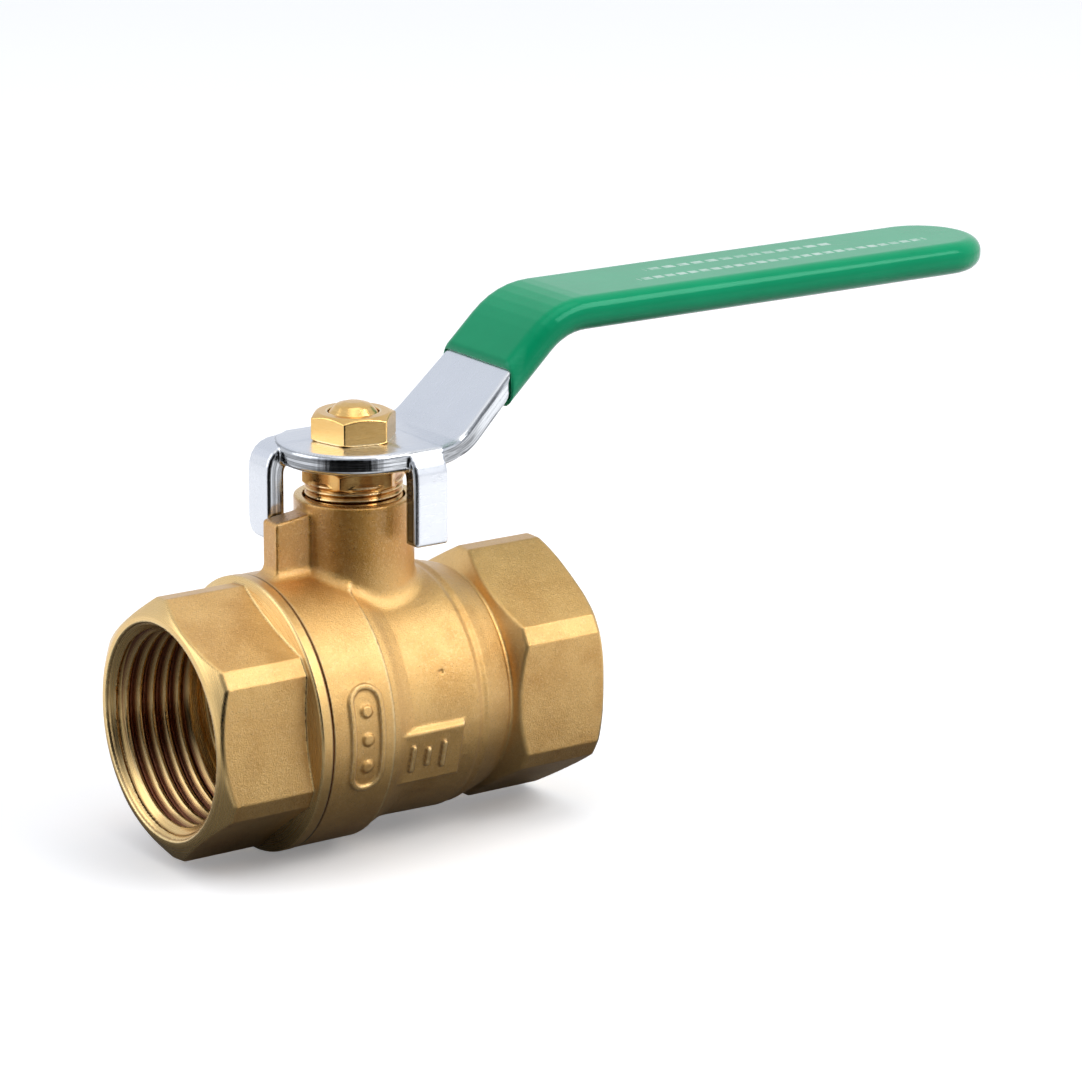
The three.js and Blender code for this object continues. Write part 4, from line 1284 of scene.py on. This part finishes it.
# What the valve mirrors is darker on the camera's side and on the floor close under the valve: the world is
# dimmer on that side, and the floor carries painted shade there and a painted shadow under the valve, both
# seen only in reflections and bounced light. The camera itself sees a pale floor and a white backdrop. The
# two ranges of the floor are distances in metres.
DARK_AZIMUTH = math.radians(CAMERA_AZIMUTH - 3)
DARK_SIDE = Vector((math.sin(DARK_AZIMUTH), -math.cos(DARK_AZIMUTH), 0))
DARK_SIDE_EDGE = (math.cos(math.radians(56)), math.cos(math.radians(30)))
DARK_FLOOR_START = (0.085, 0.125)
UNDER_EDGE = (0.045, 0.085)
UNDER_SHADOW_TONE = 0.13
UNDER_OVAL = 0.6
FLOOR_GLOW = 0.20
MIRRORED_GLOW = 0.04
DIFFUSE_TONE = 0.35
FLOOR_HALF = 3.0
FLOOR_DROP = 0.0002
WHITE = colour(1, 1, 1)

# The backdrop's colour by the height of the direction, from level to straight up.
SKY = (
    (0.0, (0.92, 0.94, 0.98)),
    (0.30, (0.76, 0.79, 0.86)),
    (0.60, (0.74, 0.78, 0.86)),
    (1.0, (0.80, 0.80, 0.80)),
)

# Each soft light's direction, its distance, width and height in millimetres, its power in watts, its colour.
SOFT_LIGHTS = (
    ("key", 37, 42, 750, 500, 340, 2.6, (1.0, 0.98, 0.95)),
    ("left_fill", -115, 28, 800, 500, 500, 1.1, (0.97, 0.98, 1.0)),
    ("top", 10, 82, 900, 700, 500, 1.2, (1.0, 1.0, 1.0)),
)


def dark_side(paint, direction):
    """1 away from the dark side and 0 in it."""
    facing = paint.vector("DOT_PRODUCT", direction, DARK_SIDE)["Value"]
    return paint.remap(facing, *DARK_SIDE_EDGE, 1.0, 0.0)


def floor_paint(paint):
    """Pale paint, with dimmer tones that only the valve sees in it: painted shade on the camera's side and a
    painted shadow close under the valve.
    """
    where = paint.add("TexCoord", {})["Object"]
    pale = paint.blend(paint.noise(where, 6.0, 2.0), colour(0.93, 0.93, 0.935), colour(0.95, 0.95, 0.955))
    from_valve = paint.vector("SUBTRACT", where, (BALL_CENTRE.x, BALL_CENTRE.y, 0))[0]
    direction = paint.vector("NORMALIZE", from_valve)[0]
    oval = paint.stretched(from_valve, UNDER_OVAL, 1.0, 0.0)
    # A painted shadow on the floor close under the valve, seen only in reflections and bounced light.
    under = paint.remap(paint.length(oval), *UNDER_EDGE, UNDER_SHADOW_TONE, 1.0)
    near = paint.remap(paint.length(from_valve), *DARK_FLOOR_START, 1.0, 0.0)
    # Painted shade on the camera's side beyond the near floor, also seen only in reflections and bounced
    # light.
    tone = paint.times(paint.most(dark_side(paint, direction), near), under)
    rays = paint.add("LightPath", {})
    seen, mirrored = rays["Is Camera Ray"], rays["Is Glossy Ray"]
    bounced = paint.times(tone, paint.remap(mirrored, 0, 1, DIFFUSE_TONE, 1.0))
    dimmed = paint.blend(1.0, pale, bounced, "MULTIPLY")
    mirrored_glow = paint.times(paint.times(mirrored, tone), MIRRORED_GLOW)
    return {
        "Base Color": paint.blend(seen, dimmed, pale),
        "Roughness": 0.85,
        "Specular IOR Level": 0.1,
        "Emission Color": WHITE,
        "Emission Strength": paint.maths("ADD", paint.times(seen, FLOOR_GLOW), mirrored_glow),
    }


def make_floor():
    """A flat sheet just under the valve."""
    half = FLOOR_HALF
    corners = [(-half, -half, 0), (half, -half, 0), (half, half, 0), (-half, half, 0)]
    mesh = bpy.data.meshes.new("floor")
    mesh.from_pydata(corners, [], [(0, 1, 2, 3)])
    mesh.materials.append(finished("pale_floor", floor_paint))
    floor = bpy.data.objects.new("floor", mesh)
    floor.location.z = -FLOOR_DROP
    bpy.context.scene.collection.objects.link(floor)


def soft_light(name, azimuth, elevation, distance, width, height, watts, tint):
    """A rectangular soft light aimed at the ball."""
    data = bpy.data.lights.new(name, "AREA")
    data.shape = "RECTANGLE"
    data.size, data.size_y = width * MM, height * MM
    data.energy = watts
    data.color = tint
    light = bpy.data.objects.new(name, data)
    light.matrix_world = facing_ball(azimuth, elevation, 0, (0, 0, distance))
    bpy.context.scene.collection.objects.link(light)


def make_world():
    """A pale backdrop, a little blue above the horizon, dark on the dark side and white to the camera."""
    world = bpy.data.worlds.new("studio")
    bpy.context.scene.world = world
    world.use_nodes = True
    tree = world.node_tree
    paint = Paint(tree)
    direction = paint.add("TexCoord", {})["Generated"]
    ramp = tree.nodes.new("ShaderNodeValToRGB")
    connect(tree, ramp, {0: paint.parts(direction)[2]})
    stops = ramp.color_ramp.elements
    for height, _ in SKY[1:-1]:
        stops.new(height)
    for stop, (height, tone) in zip(stops, SKY):
        stop.position = height
        stop.color = colour(*tone)
    dimmed = paint.blend(1.0, ramp.outputs[0], dark_side(paint, direction), "MULTIPLY")
    seen = paint.add("LightPath", {})["Is Camera Ray"]
    connect(tree, tree.nodes["Background"], {"Color": paint.blend(seen, dimmed, WHITE)})


make_camera()
make_world()
make_floor()
for light in SOFT_LIGHTS:
    soft_light(*light)

bpy.context.scene.view_settings.view_transform = "Standard"
